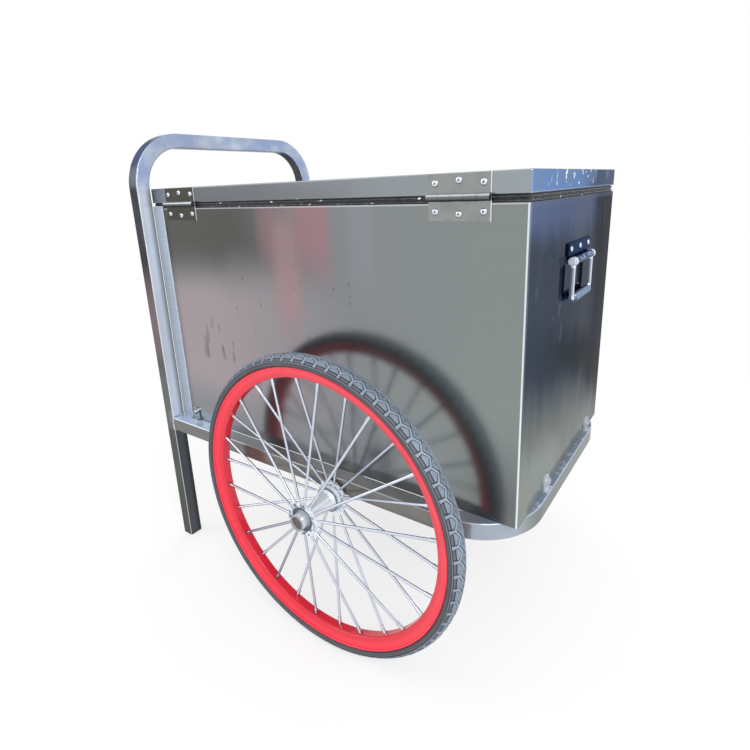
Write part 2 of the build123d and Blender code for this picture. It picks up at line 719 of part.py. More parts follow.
for wheel_name, side in wheel_sides.items():
    wheel_origin = (axle_x, side * wheel_y, axle_z)
    wheel_axis = Axis(wheel_origin, (0, side, 0))
    section = Plane(origin=wheel_origin, x_dir=(1, 0, 0), z_dir=(0, 0, side))
    # Every second spoke starts at the outer flange. In a spoke's plane X is the radius
    # and Y points outwards through its flange.
    spoke_planes = []
    for index in range(spoke_count):
        flange = side if index % 2 == 0 else -side
        angle = math.radians(spoke_start_angle + index * 360 / spoke_count)
        radial = Vector(math.cos(angle), 0, math.sin(angle))
        spoke_planes.append(
            Plane(origin=wheel_origin, x_dir=radial, z_dir=radial.cross(Vector(0, flange, 0)))
        )
    nipple_lines = []
    for plane in spoke_planes:
        hub_end = plane.from_local_coords(Vector(spoke_circle_radius, spoke_hub_offset))
        rim_end = plane.from_local_coords(Vector(rim_well_radius, spoke_stagger))
        nipple_lines.append(Plane(origin=rim_end, z_dir=hub_end - rim_end))

    # Rim: a channel with a rolled bead along each edge and a hole for each nipple
    with BuildPart() as rim:
        with BuildSketch(section) as rim_section:
            with BuildLine():
                Polyline(
                    (rim_bed_radius, -rim_bed_width / 2),
                    (rim_bed_radius, rim_bed_width / 2),
                    (rim_flange_radius - rim_bead_radius, rim_side),
                    (rim_flange_radius - rim_bead_radius, rim_side - rim_side_wall),
                    (rim_well_radius, rim_well_side),
                    (rim_well_radius, -rim_well_side),
                    (rim_flange_radius - rim_bead_radius, rim_side_wall - rim_side),
                    (rim_flange_radius - rim_bead_radius, -rim_side),
                    close=True,
                )
            make_face()
            fillet(rim_section.vertices().group_by(Axis.X)[0], rim_bed_round)
            with Locations(
                (rim_flange_radius - rim_bead_radius, rim_side),
                (rim_flange_radius - rim_bead_radius, -rim_side),
            ):
                Circle(rim_bead_radius)
        revolve(axis=wheel_axis)
        for nipple_line in nipple_lines:
            with Locations(nipple_line):
                Cylinder(nipple_radius + nipple_hole_gap, nipple_length, mode=Mode.SUBTRACT)
    write_piece(rim.part, f"{wheel_name}_rim")

    # Tyre: solid rubber with a foot in the rim, round sides and a round crown
    with BuildPart() as tyre:
        with BuildSketch(section):
            with BuildLine():
                foot_side = rim_side - rim_side_wall - tyre_seat_gap
                lip_radius = rim_flange_radius + tyre_seat_gap
                bulge_radius = rim_flange_radius + tyre_bulge_rise
                Polyline(
                    (lip_radius, -rim_side),
                    (lip_radius, -foot_side),
                    (rim_flange_radius - rim_bead_radius, -foot_side),
                    (tyre_foot_radius, tyre_seat_gap - rim_well_side),
                    (tyre_foot_radius, rim_well_side - tyre_seat_gap),
                    (rim_flange_radius - rim_bead_radius, foot_side),
                    (lip_radius, foot_side),
                    (lip_radius, rim_side),
                )
                ThreePointArc(
                    (lip_radius, rim_side),
                    (bulge_radius, tyre_width / 2),
                    (tyre_shoulder_radius, tyre_shoulder_width / 2),
                )
                ThreePointArc(
                    (tyre_shoulder_radius, tyre_shoulder_width / 2),
                    (tyre_radius, 0),
                    (tyre_shoulder_radius, -tyre_shoulder_width / 2),
                )
                ThreePointArc(
                    (tyre_shoulder_radius, -tyre_shoulder_width / 2),
                    (bulge_radius, -tyre_width / 2),
                    (lip_radius, -rim_side),
                )
            make_face()
        revolve(axis=wheel_axis)
    write_piece(tyre.part, f"{wheel_name}_tyre")

    # Spokes: a straight shank, an elbow through the hub flange and a head outside it
    with BuildPart() as spokes:
        for plane in spoke_planes:
            with BuildLine(plane) as spoke_path:
                FilletPolyline(
                    (spoke_circle_radius, spoke_head_offset),
                    (spoke_circle_radius, spoke_hub_offset),
                    (rim_well_radius - spoke_thread_inset, spoke_stagger + spoke_slope * spoke_thread_inset),
                    radius=spoke_bend_radius,
                )
            head_plane = Plane(
                origin=plane.from_local_coords(Vector(spoke_circle_radius, spoke_head_offset)),
                x_dir=plane.x_dir,
                z_dir=-plane.y_dir,
            )
            with BuildSketch(head_plane):
                Circle(spoke_radius)
            sweep(path=spoke_path.line)
            with BuildSketch(head_plane):
                Circle(spoke_head_radius)
            extrude(amount=-spoke_head_height)
    write_piece(spokes.part, f"{wheel_name}_spokes")

    # Nipples: sleeves on the outer ends of the spokes, through the rim
    with BuildPart() as nipples:
        with Locations(*nipple_lines):
            Cylinder(nipple_radius, nipple_length, align=(Align.CENTER, Align.CENTER, Align.MIN))
            Cylinder(
                spoke_radius + seat_gap,
                nipple_length,
                align=(Align.CENTER, Align.CENTER, Align.MIN),
                mode=Mode.SUBTRACT,
            )
    write_piece(nipples.part, f"{wheel_name}_nipples")

    # Hub shell: two flanges on a tapered barrel, a stepped inner end and a cup in the dished outer flange
    with BuildPart() as hub:
        with BuildSketch(section):
            with BuildLine():
                Polyline(
                    (bearing_outer_radius, -hub_inner_end),
                    (hub_boss_radius, -hub_inner_end),
                    (hub_boss_radius, -flange_face),
                    (hub_flange_radius, -flange_face),
                    (hub_flange_radius, -hub_step_start),
                    (hub_step_radius, -hub_step_start),
                    (hub_step_radius, -hub_neck_start),
                    (hub_neck_radius, -hub_neck_start),
                    (hub_barrel_wide_radius, -hub_barrel_start),
                    (hub_barrel_slim_radius, hub_step_start - hub_barrel_flare_length),
                    (hub_barrel_flare_radius, hub_step_start),
                    (hub_flange_radius, hub_step_start),
                    (hub_flange_radius, flange_face),
                    (hub_dish_radius, flange_face),
                    (hub_dish_radius, flange_face - hub_dish_depth),
                    (bearing_outer_radius + hub_cup_wall, flange_face - hub_dish_depth),
                    (bearing_outer_radius + hub_cup_wall, hub_cup_end),
                    (bearing_outer_radius, hub_cup_end),
                    (bearing_outer_radius, outer_seat),
                    (hub_bore_radius, outer_seat),
                    (hub_bore_radius, -inner_seat),
                    (bearing_outer_radius, -inner_seat),
                    close=True,
                )
            make_face()
        revolve(axis=wheel_axis)
        for plane in spoke_planes:
            hole_centre = plane.from_local_coords(Vector(spoke_circle_radius, hub_flange_spacing / 2))
            with Locations(Plane(origin=hole_centre, z_dir=plane.y_dir)):
                Cylinder(spoke_radius + spoke_hole_gap, 2 * hub_flange_sheet, mode=Mode.SUBTRACT)
    write_piece(hub.part, f"{wheel_name}_hub")

    # Bearings in the two ends of the hub
    with BuildPart() as bearings:
        with BuildSketch(section):
            bearing_middle = (bearing_outer_radius + axle_journal_radius + running_fit) / 2
            with Locations(
                (bearing_middle, outer_seat + bearing_width / 2),
                (bearing_middle, bearing_width / 2 - hub_inner_end),
            ):
                Rectangle(bearing_outer_radius - axle_journal_radius - running_fit, bearing_width)
        revolve(axis=wheel_axis)
    write_piece(bearings.part, f"{wheel_name}_bearings")

    # Plug that closes the outer end of the hub
    with BuildPart() as hub_plug:
        outer_face = Plane(origin=wheel_origin, x_dir=(1, 0, 0), z_dir=(0, side, 0))
        with BuildSketch(outer_face.offset(plug_place)):
            Circle(bearing_outer_radius)
        extrude(amount=hub_plug_thickness)
    write_piece(hub_plug.part, f"{wheel_name}_hub_plug")

    # Dust ring on the inner end of the hub
    with BuildPart() as dust_ring:
        inner_face = Plane(origin=wheel_origin, x_dir=(1, 0, 0), z_dir=(0, -side, 0))
        with BuildSketch(inner_face.offset(hub_inner_end)):
            Circle(dust_ring_radius)
            Circle(axle_radius + 2 * running_gap, mode=Mode.SUBTRACT)
        extrude(amount=dust_ring_thickness)
    write_piece(dust_ring.part, f"{wheel_name}_dust_ring")
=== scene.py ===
"""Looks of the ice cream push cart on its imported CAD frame. Laid out as an add-on, and run as a script."""

import math

import bmesh
import bpy
from bpy.props import FloatProperty, FloatVectorProperty, IntProperty, PointerProperty
from mathutils import Matrix, Vector


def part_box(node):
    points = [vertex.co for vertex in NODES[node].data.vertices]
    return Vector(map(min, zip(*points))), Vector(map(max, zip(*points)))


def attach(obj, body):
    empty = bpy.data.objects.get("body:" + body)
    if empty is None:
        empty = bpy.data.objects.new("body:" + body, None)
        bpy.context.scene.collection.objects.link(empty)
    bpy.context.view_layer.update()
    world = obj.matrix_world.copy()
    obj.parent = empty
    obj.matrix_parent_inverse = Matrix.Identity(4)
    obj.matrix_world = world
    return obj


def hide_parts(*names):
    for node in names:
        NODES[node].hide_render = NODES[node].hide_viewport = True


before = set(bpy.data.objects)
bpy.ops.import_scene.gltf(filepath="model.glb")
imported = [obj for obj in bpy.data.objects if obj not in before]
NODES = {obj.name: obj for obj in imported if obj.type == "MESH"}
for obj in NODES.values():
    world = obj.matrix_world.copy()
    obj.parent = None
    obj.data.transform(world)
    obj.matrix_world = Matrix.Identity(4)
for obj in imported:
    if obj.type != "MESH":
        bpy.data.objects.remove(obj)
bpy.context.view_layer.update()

bl_info = {
    "name": "Ice cream push cart",
    "version": (1, 0, 0),
    "blender": (4, 5, 0),
    "location": "View3D > Sidebar > Cart",
    "description": "Dresses the CAD pieces of an ice cream push cart and sets its studio",
    "category": "Object",
}

WHEELS = {"near": "near_wheel", "far": "far_wheel"}


def middle(node):
    """Middle of a CAD node's box."""
    low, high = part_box(node)
    return (low + high) / 2


CHEST_LOW, CHEST_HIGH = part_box("near_side_panel")
FRONT_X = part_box("front_end_panel")[1].x
REAR_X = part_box("rear_end_panel")[0].x
LID_LOW, LID_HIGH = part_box("lid_skin")
TUBE_LOW, TUBE_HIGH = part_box("base_frame")
HOOP_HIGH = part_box("handle_hoop")[1]
GASKET_LOW, GASKET_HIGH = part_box("lid_gasket")
SADDLE_LOW, SADDLE_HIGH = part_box("axle_saddles")
TYRE_LOW, TYRE_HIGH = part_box("near_tyre")
RIM_LOW, RIM_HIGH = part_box("near_rim")
TYRE_RADIUS = (TYRE_HIGH.z - TYRE_LOW.z) / 2
RIM_RADIUS = (RIM_HIGH.z - RIM_LOW.z) / 2
MERGE_DISTANCE = 1e-6
# Painted highlight for the bright lines on bends and rounded edges.
PAINTED_EDGE_HIGHLIGHT = (0.78, 0.82, 0.87)


def colour(name, description, default):
    """A colour that a user may change."""
    return FloatVectorProperty(
        name=name, description=description, default=default, subtype="COLOR", size=3, min=0.0, max=1.0
    )


def length(name, description, default):
    """A length that a user may change."""
    return FloatProperty(name=name, description=description, default=default, min=0.0, unit="LENGTH")


def turned(name, description, degrees):
    """An angle that a user may change."""
    return FloatProperty(
        name=name, description=description, default=math.radians(degrees), subtype="ANGLE"
    )


def number(name, description, default, least):
    """A number of things that a user may change."""
    return IntProperty(name=name, description=description, default=default, min=least)


class CartSizes(bpy.types.PropertyGroup):
    """Sizes of the pieces that the script makes."""

    tread_count: number("Tread blocks", "Pitches of the tread round the tyre", 72, 12)
    tread_start: turned("Tread start", "Turn of the first pitch from the top", 1.5)
    tread_depth: length("Tread depth", "Depth of the grooves of the tread", 0.0026)
    tread_groove: length("Tread groove", "Width of the grooves between the blocks", 0.0013)
    web_width: length("Web width", "Width of the webs round the diamonds", 0.0037)
    diamond_width: length("Diamond width", "Width of the middle row of blocks", 0.0146)
    shoulder_width: length("Shoulder width", "Width of the tread from shoulder to shoulder", 0.039)
    shoulder_drop: length("Shoulder drop", "How far the shoulder lies below the crown", 0.0093)
    bulge_rise: length("Bulge rise", "Height of the widest place of the tyre above the rim", 0.0061)
    rib_count: number("Sidewall ribs", "Ribs on the sidewall for each tread block", 6, 1)
    rib_height: length("Rib height", "How far the ribs stand out of the sidewall", 0.0006)
    weld_width: length("Weld width", "Width of the weld beads", 0.0055)
    weld_pitch: length("Weld pitch", "Distance between the ripples of a weld", 0.0021)
    rivet_radius: length("Rivet radius", "Radius of the rivet heads", 0.005)
    rivet_height: length("Rivet height", "Height of the rivet heads", 0.0024)
    rivet_hole: length("Rivet hole", "Radius of the hole in each rivet head", 0.0016)
    gasket_corner: length("Gasket corner", "Radius of the corners of the gasket", 0.004)
    gasket_ridge: length("Gasket ridge", "Depth of the grooves along the gasket", 0.0022)


class CartColours(bpy.types.PropertyGroup):
    """Colours of the finishes, linear."""

    panel: colour("Panel", "Satin sheet of the sides", (0.228, 0.258, 0.251))
    # The next three are painted on the near side: painted shade in its upper rear corner, a painted pale
    # reflection low towards the rear, and upright streaks of painted reflection of the red rim.
    panel_painted_shade: colour("Panel shade", "Dull upper corner of the near side", (0.084, 0.085, 0.079))
    panel_painted_pale_reflection: colour("Panel bloom", "Pale lower corner of the near side", (0.37, 0.312, 0.33))
    panel_painted_red_reflection: colour("Panel red", "Upright red streaks of the near side", (0.36, 0.18, 0.216))
    front: colour("Front", "Polished sheet of the front end", (0.13, 0.15, 0.195))
    # The next two are painted reflections on the polished front end: paler under the lid and at its foot near
    # the frame.
    front_top_painted_reflection: colour("Front top", "Polished sheet under the lid", (0.215, 0.27, 0.46))
    front_foot_painted_reflection: colour("Front foot", "Polished sheet near the frame", (0.225, 0.255, 0.235))
    rear: colour("Rear", "Sheet of the rear end and its flange", (0.44, 0.51, 0.60))
    lid: colour("Lid", "Satin sheet of the lid", (0.32, 0.365, 0.385))
    # Painted shade over the rear half of the lid, then a painted blue reflection on its front edge.
    lid_painted_shade: colour("Lid shade", "Duller rear half of the lid", (0.165, 0.17, 0.187))
    lid_front_painted_reflection: colour("Lid front", "Front edge of the lid", (0.255, 0.41, 0.73))
    # The frame tones down to the tube leg are painted light and shade by the way each face looks: painted
    # reflection on upward faces and bends, painted light on the hoop's forward faces, and painted shade on
    # the other faces and below the chest.
    tube_top_painted_reflection: colour("Tube top", "Upward faces of the base frame", (0.67, 0.77, 0.95))
    tube_front_painted_shade: colour("Tube front", "Forward faces of the base frame", (0.16, 0.175, 0.14))
    tube_bend_painted_reflection: colour("Tube bend", "Front bends of the base frame", (0.36, 0.42, 0.51))
    tube_side_painted_shade: colour("Tube side", "Sideward faces of the base frame", (0.165, 0.156, 0.146))
    hoop_front_painted_light: colour("Hoop front", "Forward faces of the hoop", (0.69, 0.76, 0.87))
    hoop_side_painted_shade: colour("Hoop side", "Sideward faces of the hoop", (0.042, 0.044, 0.05))
    hoop_top_painted_reflection: colour("Hoop top", "Upward faces of the hoop", (0.42, 0.49, 0.64))
    tube_leg_painted_shade: colour("Tube leg", "Frame tube below the chest", (0.012, 0.013, 0.011))
    inner: colour("Inner sheet", "Sheet inside the chest and the lid", (0.46, 0.47, 0.475))
    foam: colour("Foam", "Insulation boards", (0.78, 0.70, 0.46))
    gasket: colour("Gasket", "Rubber under the lid", (0.022, 0.023, 0.026))
    film: colour("Film", "Scraps of film left on the lid", (0.78, 0.82, 0.88))
    hinge: colour("Hinge", "Hinge leaves", (0.29, 0.31, 0.305))
    # The front lugs get this tone as painted light; the lugs at the sides get painted shade instead.
    lug: colour("Lug", "Lugs of the chest", (0.84, 0.88, 0.94))
    rivet: colour("Rivet", "Rivet heads", (0.74, 0.77, 0.84))
    chrome: colour("Chrome", "Bail of the carry handle", (0.84, 0.89, 0.96))
    plate: colour("Plate", "Plate of the carry handle", (0.05, 0.07, 0.13))
    grip: colour("Grip", "Sleeve of the carry handle", (0.37, 0.49, 0.69))
    rubber: colour("Rubber", "Sidewalls of the tyres", (0.078, 0.073, 0.085))
    # Groove is painted shade on the tread's feet, walls and grooves and under the tread; worn rubber is
    # partly dust and partly a painted sky reflection on the tread tops.
    groove: colour("Groove", "Grooves of the tread", (0.036, 0.036, 0.045))
    rubber_dust_and_painted_reflection: colour("Worn rubber", "Palest rubber of the tread", (0.34, 0.42, 0.52))
    red: colour("Red", "Paint of the rims", (0.89, 0.030, 0.062))
    zinc: colour("Zinc", "Spokes and nipples", (0.65, 0.70, 0.80))
    axle: colour("Axle", "Axle, nuts and saddles", (0.20, 0.26, 0.31))
    plug: colour("Plug", "Discs in the ends of the hubs", (0.12, 0.09, 0.085))
    floor: colour("Floor", "Studio floor", (0.95, 0.95, 0.95))


class CartView(bpy.types.PropertyGroup):
    """Camera of the studio."""

    place: FloatVectorProperty(
        name="Place",
        description="Where the camera stands",
        default=(0.63805, -0.89164, 0.8211),
        subtype="TRANSLATION",
        unit="LENGTH",
    )
    turn: turned("Turn", "Turn to the left of straight across", 35.80)
    tilt: turned("Tilt", "Tilt below level", 15.81)
    roll: turned("Roll", "Roll about the line of sight", -2.363)
    lens: FloatProperty(name="Lens", description="Focal length in millimetres", default=24.79, min=1.0)
    shift: FloatVectorProperty(
        name="Shift", description="Shift of the picture on the sensor", default=(0.00117, -0.0556), size=2
    )


class Shade:
    """A node socket that takes part in sums. An expression on such values adds its Math nodes."""

    def __init__(self, tree, socket=None):
        self.tree = tree
        self.socket = socket

    def make(self, kind, settings=None, inputs=None, output=0):
        """Add a node: its settings first, then the values or links of its sockets. Gives one output."""
        node = self.tree.nodes.new(kind)
        for name, value in (settings or {}).items():
            setattr(node, name, value)
        for name, value in (inputs or {}).items():
            if isinstance(value, Shade):
                self.tree.links.new(value.socket, node.inputs[name])
            else:
                node.inputs[name].default_value = value
        return Shade(self.tree, node.outputs[output] if len(node.outputs) else None)

    def other(self, output):
        """Another output of the same node."""
        return Shade(self.tree, self.socket.node.outputs[output])

    def sum(self, operation, first, second):
        """A Math node on two values."""
        return self.make("ShaderNodeMath", {"operation": operation}, {0: first, 1: second})

    def __add__(self, value):
        return self.sum("ADD", self, value)

    def __radd__(self, value):
        return self.sum("ADD", value, self)

    def __sub__(self, value):
        return self.sum("SUBTRACT", self, value)

    def __rsub__(self, value):
        return self.sum("SUBTRACT", value, self)

    def __mul__(self, value):
        return self.sum("MULTIPLY", self, value)

    def __rmul__(self, value):
        return self.sum("MULTIPLY", value, self)

    def __truediv__(self, value):
        return self.sum("DIVIDE", self, value)

    def __pow__(self, value):
        return self.sum("POWER", self, value)


def between(value, low, high):
    """0 below the low end, 1 above the high end, and smooth from one to the other."""
    return value.make(
        "ShaderNodeMapRange",
        {"interpolation_type": "SMOOTHSTEP"},
        {"Value": value, "From Min": low, "From Max": high},
    )


def band(value, low, high, edge):
    """1 from the low end to the high end, with soft edges."""
    return between(value, low - edge, low + edge) * (1 - between(value, high - edge, high + edge))


def noise(place, scale, stretch=(1, 1, 1), detail=3.0, seed=0.0):
    """Cloudy noise, from about 0.25 to 0.75, on places that may be stretched."""
    moved = place.make(
        "ShaderNodeMapping", None, {"Vector": place, "Location": (seed, seed, seed), "Scale": stretch}
    )
    return place.make("ShaderNodeTexNoise", None, {"Vector": moved, "Scale": scale, "Detail": detail})


def patches(place, low, high, scale, stretch=(1, 1, 1), detail=3.0, seed=0.0):
    """Patches where cloudy noise rises from the low value to the high one."""
    return between(noise(place, scale, stretch, detail, seed), low, high)


def rgba(value):
    """A colour with its alpha, or a linked colour as it is."""
    return value if isinstance(value, Shade) else (*value, 1.0)


def mix(factor, first, second):
    """From the first colour to the second."""
    return factor.make(
        "ShaderNodeMix", {"data_type": "RGBA"}, {0: factor, 6: rgba(first), 7: rgba(second)}, output=2
    )


def axes(place):
    """X, Y and Z of a place."""
    split = place.make("ShaderNodeSeparateXYZ", None, {"Vector": place})
    return split, split.other(1), split.other(2)


def facing(place):
    """X, Y and Z of the direction that a face looks in, on the piece itself."""
    return axes(place.make("ShaderNodeTexCoord", output="Normal"))


def from_wheel(place, centre):
    """Distance from a wheel's axle, and the place measured from the wheel's middle."""
    moved = place.make("ShaderNodeVectorMath", {"operation": "SUBTRACT"}, {0: place, 1: centre})
    x, _, z = axes(moved)
    return (x * x + z * z) ** 0.5, moved


def new_finish(name):
    """An empty finish: its material, its shader and the Object coordinates of its tree."""
    material = bpy.data.materials.new(name)
    material.use_nodes = True
    tree = material.node_tree
    return material, tree.nodes["Principled BSDF"], Shade(tree).make("ShaderNodeTexCoord", output="Object")


def dress(shader, **inputs):
    """Set or link the shader's sockets, by their names with _ for a space."""
    for name, value in inputs.items():
        socket = shader.inputs[name.replace("_", " ")]
        if isinstance(value, Shade):
            value.tree.links.new(value.socket, socket)
        else:
            socket.default_value = value


def bump(height, strength, distance, under=None):
    """Normals of a height, on top of other normals where these are given."""
    inputs = {"Strength": strength, "Distance": distance, "Height": height}
    if under is not None:
        inputs["Normal"] = under
    return height.make("ShaderNodeBump", None, inputs)


def side_panel_finish(colours):
    """Satin stainless sheet: clouded tones with painted shade and painted pale, beige and grey reflections,
    upright streaks of painted red reflection, level grain, scuffs and a painted highlight on the top edge.
    """
    material, shader, place = new_finish("satin_side_sheet")
    x, _, z = axes(place)
    cloud = noise(place, 4.0, detail=2.0) - 0.5
    fine = noise(place, 1.0, (9, 9, 1500), detail=4.0)
    drift_x = x + cloud * 0.16
    drift_z = z + cloud * 0.09
    rearward = 1 - between(drift_x, -0.19, 0.17)
    tone = mix(between(x, 0.02, 0.40), (0.230, 0.241, 0.256), colours.panel)
    # Painted shade in the upper rear corner.
    tone = mix(between(drift_z, 0.60, 0.735) * rearward, tone, colours.panel_painted_shade)
    # Painted pale reflection low down towards the rear.
    pale = band(drift_z, 0.405, 0.655, 0.055) * (1 - between(drift_x, -0.26, 0.16))
    tone = mix(pale * 0.9, tone, colours.panel_painted_pale_reflection)
    # Painted beige reflection in a high band near the middle.
    painted_beige_reflection = band(x, -0.05, 0.012, 0.02) * band(drift_z, 0.58, 0.79, 0.05)
    tone = mix(painted_beige_reflection * 0.7, tone, (0.38, 0.235, 0.25))
    # Upright streaks of painted reflection of the red rim, high up.
    high = between(drift_z, 0.625, 0.745)
    red = band(x, 0.012, 0.083, 0.014) * high + band(x, -0.085, -0.045, 0.016) * high * 0.55
    tone = mix(red * 0.72, tone, colours.panel_painted_red_reflection)
    # An upright streak of painted grey reflection.
    grey = band(x, 0.127, 0.172, 0.013) * between(drift_z, 0.60, 0.74)
    tone = mix(grey * 0.7, tone, (0.25, 0.27, 0.30))
    # Painted shade low down towards the front.
    low_front = between(x, 0.26, 0.41) * (1 - between(z, 0.34, 0.50))
    tone = mix(low_front * 0.75, tone, (0.124, 0.129, 0.139))
    tone = mix(fine * 0.08, tone, (0.43, 0.43, 0.43))
    smear = patches(place, 0.585, 0.66, 15.0, (3.4, 3.4, 1.0), detail=5.0, seed=2.7)
    smear = smear * band(x, -0.30, -0.12, 0.04) * band(z, 0.40, 0.56, 0.05)
    specks = patches(place, 0.675, 0.71, 40.0, (2.2, 2.2, 1.0), detail=3.0, seed=5.1)
    smear = smear + specks * band(x, -0.25, 0.15, 0.05) * band(z, 0.55, 0.69, 0.03)
    tone = mix(smear * 0.6, tone, (0.129, 0.119, 0.114))
    # Painted highlight along the top edge.
    tone = mix(between(z, CHEST_HIGH.z - 0.0030, CHEST_HIGH.z - 0.0012) * 0.4, tone, (0.85, 0.88, 0.92))
    waves = noise(place, 2.2, (1, 1, 0.6), detail=1.0)
    normal = bump(fine, 0.10, 0.0006, bump(waves, 0.25, 0.006))
    dress(shader, Base_Color=tone, Metallic=0.9, Roughness=0.135 + fine * 0.06 + smear * 0.2, Normal=normal)
    return material


def front_panel_finish(colours):
    """Mirror polished sheet: dark, with painted reflection that makes it paler under the lid and at its
    sloping foot, bands of painted shade, a painted highlight on the bend, and wipe marks.
    """
    material, shader, place = new_finish("polished_front_sheet")
    x, y, z = axes(place)
    wipes = noise(place, 1.0, (26, 26, 5.0), detail=4.0)
    cloud = noise(place, 6.0, (1, 1, 0.6), detail=4.0, seed=4.0) - 0.5
    drift = z + cloud * 0.10 + (wipes - 0.5) * 0.06
    far_side = between(y, 0.06, 0.22)
    slope = z + y * 0.233 + far_side * 0.03 + cloud * 0.05 + (wipes - 0.5) * 0.05
    foot = 1 - between(slope, 0.38, 0.505)
    middle_painted_shade = band(slope, 0.49, 0.565, 0.03)
    upper = between(drift, 0.60, 0.74)
    top = between(drift, 0.71, 0.775)
    # Painted reflection: paler towards the top, under the lid.
    tone = mix(top, colours.front, colours.front_top_painted_reflection)
    # Painted shade in a dark band across the middle, darker towards the far side.
    tone = mix(middle_painted_shade * (0.15 + between(y, -0.22, 0.12) * 0.75), tone, (0.030, 0.045, 0.052))
    # Painted shade over the far side above the foot.
    right = between(y + cloud * 0.12, 0.06, 0.16)
    tone = mix(right * (1 - foot) * 0.92, tone, (0.008, 0.014, 0.026))
    # Painted reflection on the sloping foot.
    sheen = between(slope + cloud * 0.2, 0.33, 0.42)
    tone = mix(foot, tone, mix(sheen, colours.front_foot_painted_reflection, (0.122, 0.142, 0.125)))
    # A pale upright streak of painted reflection high up.
    streak = band(y + (wipes - 0.5) * 0.06, -0.02, 0.055, 0.02) * between(drift, 0.66, 0.73)
    tone = mix(streak * 0.40, tone, (0.26, 0.30, 0.38))
    tone = mix(between(wipes, 0.55, 0.70) * upper * 0.25, tone, (0.27, 0.32, 0.42))
    prints = patches(place, 0.65, 0.70, 46.0, (1, 1, 0.5), detail=2.0, seed=8.0)
    prints = prints * band(y, -0.20, -0.06, 0.03) * band(z, 0.56, 0.70, 0.04)
    tone = mix(prints * 0.5, tone, (0.27, 0.30, 0.38))
    smudge = patches(place, 0.60, 0.68, 18.0, (1, 1, 0.45), detail=5.0, seed=1.2)
    smudge = smudge * band(y, 0.02, 0.22, 0.04)
    tone = mix(smudge * (1 - foot) * 0.12, tone, (0.24, 0.27, 0.30))
    # Painted reflection in a pale band just under the lid.
    tone = mix(between(z, CHEST_HIGH.z - 0.010, CHEST_HIGH.z - 0.004) * 0.5, tone, (0.26, 0.32, 0.44))
    bend = 1 - between(x, FRONT_X - 0.0022, FRONT_X - 0.0010)
    tone = mix(bend, tone, colours.panel)
    # Painted highlight on the bend.
    tone = mix(band(x, FRONT_X - 0.0040, FRONT_X - 0.0016, 0.0005), tone, PAINTED_EDGE_HIGHLIGHT)
    rough = 0.025 + between(wipes, 0.5, 0.75) * 0.03 + prints * 0.1 + bend * 0.12 + foot * 0.08
    normal = bump(noise(place, 2.5, (1, 1, 0.4), detail=1.0), 0.10, 0.004)
    dress(shader, Base_Color=tone, Metallic=1 - foot * 0.6, Roughness=rough, Normal=normal,
          Specular_Tint=(0.345, 0.35, 0.355, 1), Specular_IOR_Level=0.08)
    return material


def rear_panel_finish(colours):
    """Satin sheet of the rear end: a plain back, and flanges with painted shade in the joint with the upright
    and painted highlights on the bend and the cut edge.
    """
    material, shader, place = new_finish("satin_rear_sheet")
    x, y, _ = axes(place)
    corner_start, corner_end = 0.2290, 0.2340
    fine = noise(place, 1.0, (10, 10, 1200), detail=4.0)
    cloud = noise(place, 6.0, detail=3.0)
    tone = mix(between(cloud, 0.35, 0.65) * 0.35, colours.rear, (0.26, 0.30, 0.345))
    back = 1 - between(y * y, corner_start ** 2, corner_end ** 2)
    tone = mix(back, tone, mix(between(cloud, 0.35, 0.65) * 0.4, colours.panel, (0.31, 0.335, 0.34)))
    # Painted shade in the joint of the flanges with the upright.
    joint = (1 - between(x, REAR_X + 0.0022, REAR_X + 0.0042)) * (1 - back)
    tone = mix(joint * 0.85, tone, (0.045, 0.05, 0.055))
    bend = band(x, REAR_X + 0.0045, REAR_X + 0.0085, 0.0012)
    flange_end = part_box("rear_end_panel")[1].x
    edge = between(x, flange_end - 0.0022, flange_end - 0.0008)
    dots = patches(place, 0.42, 0.62, 160.0)
    # Painted highlights: on the bend, and dotted along the cut edge.
    tone = mix(bend * 0.35, tone, (0.60, 0.66, 0.70))
    tone = mix(edge * (0.55 + dots * 0.45), tone, (0.85, 0.89, 0.93))
    dress(shader, Base_Color=tone, Metallic=0.3 + joint * 0.7 + back * 0.6, Roughness=0.2 + fine * 0.12,
          Normal=bump(fine, 0.15, 0.0006), Specular_Tint=(0.4, 0.42, 0.46, 1))
    return material


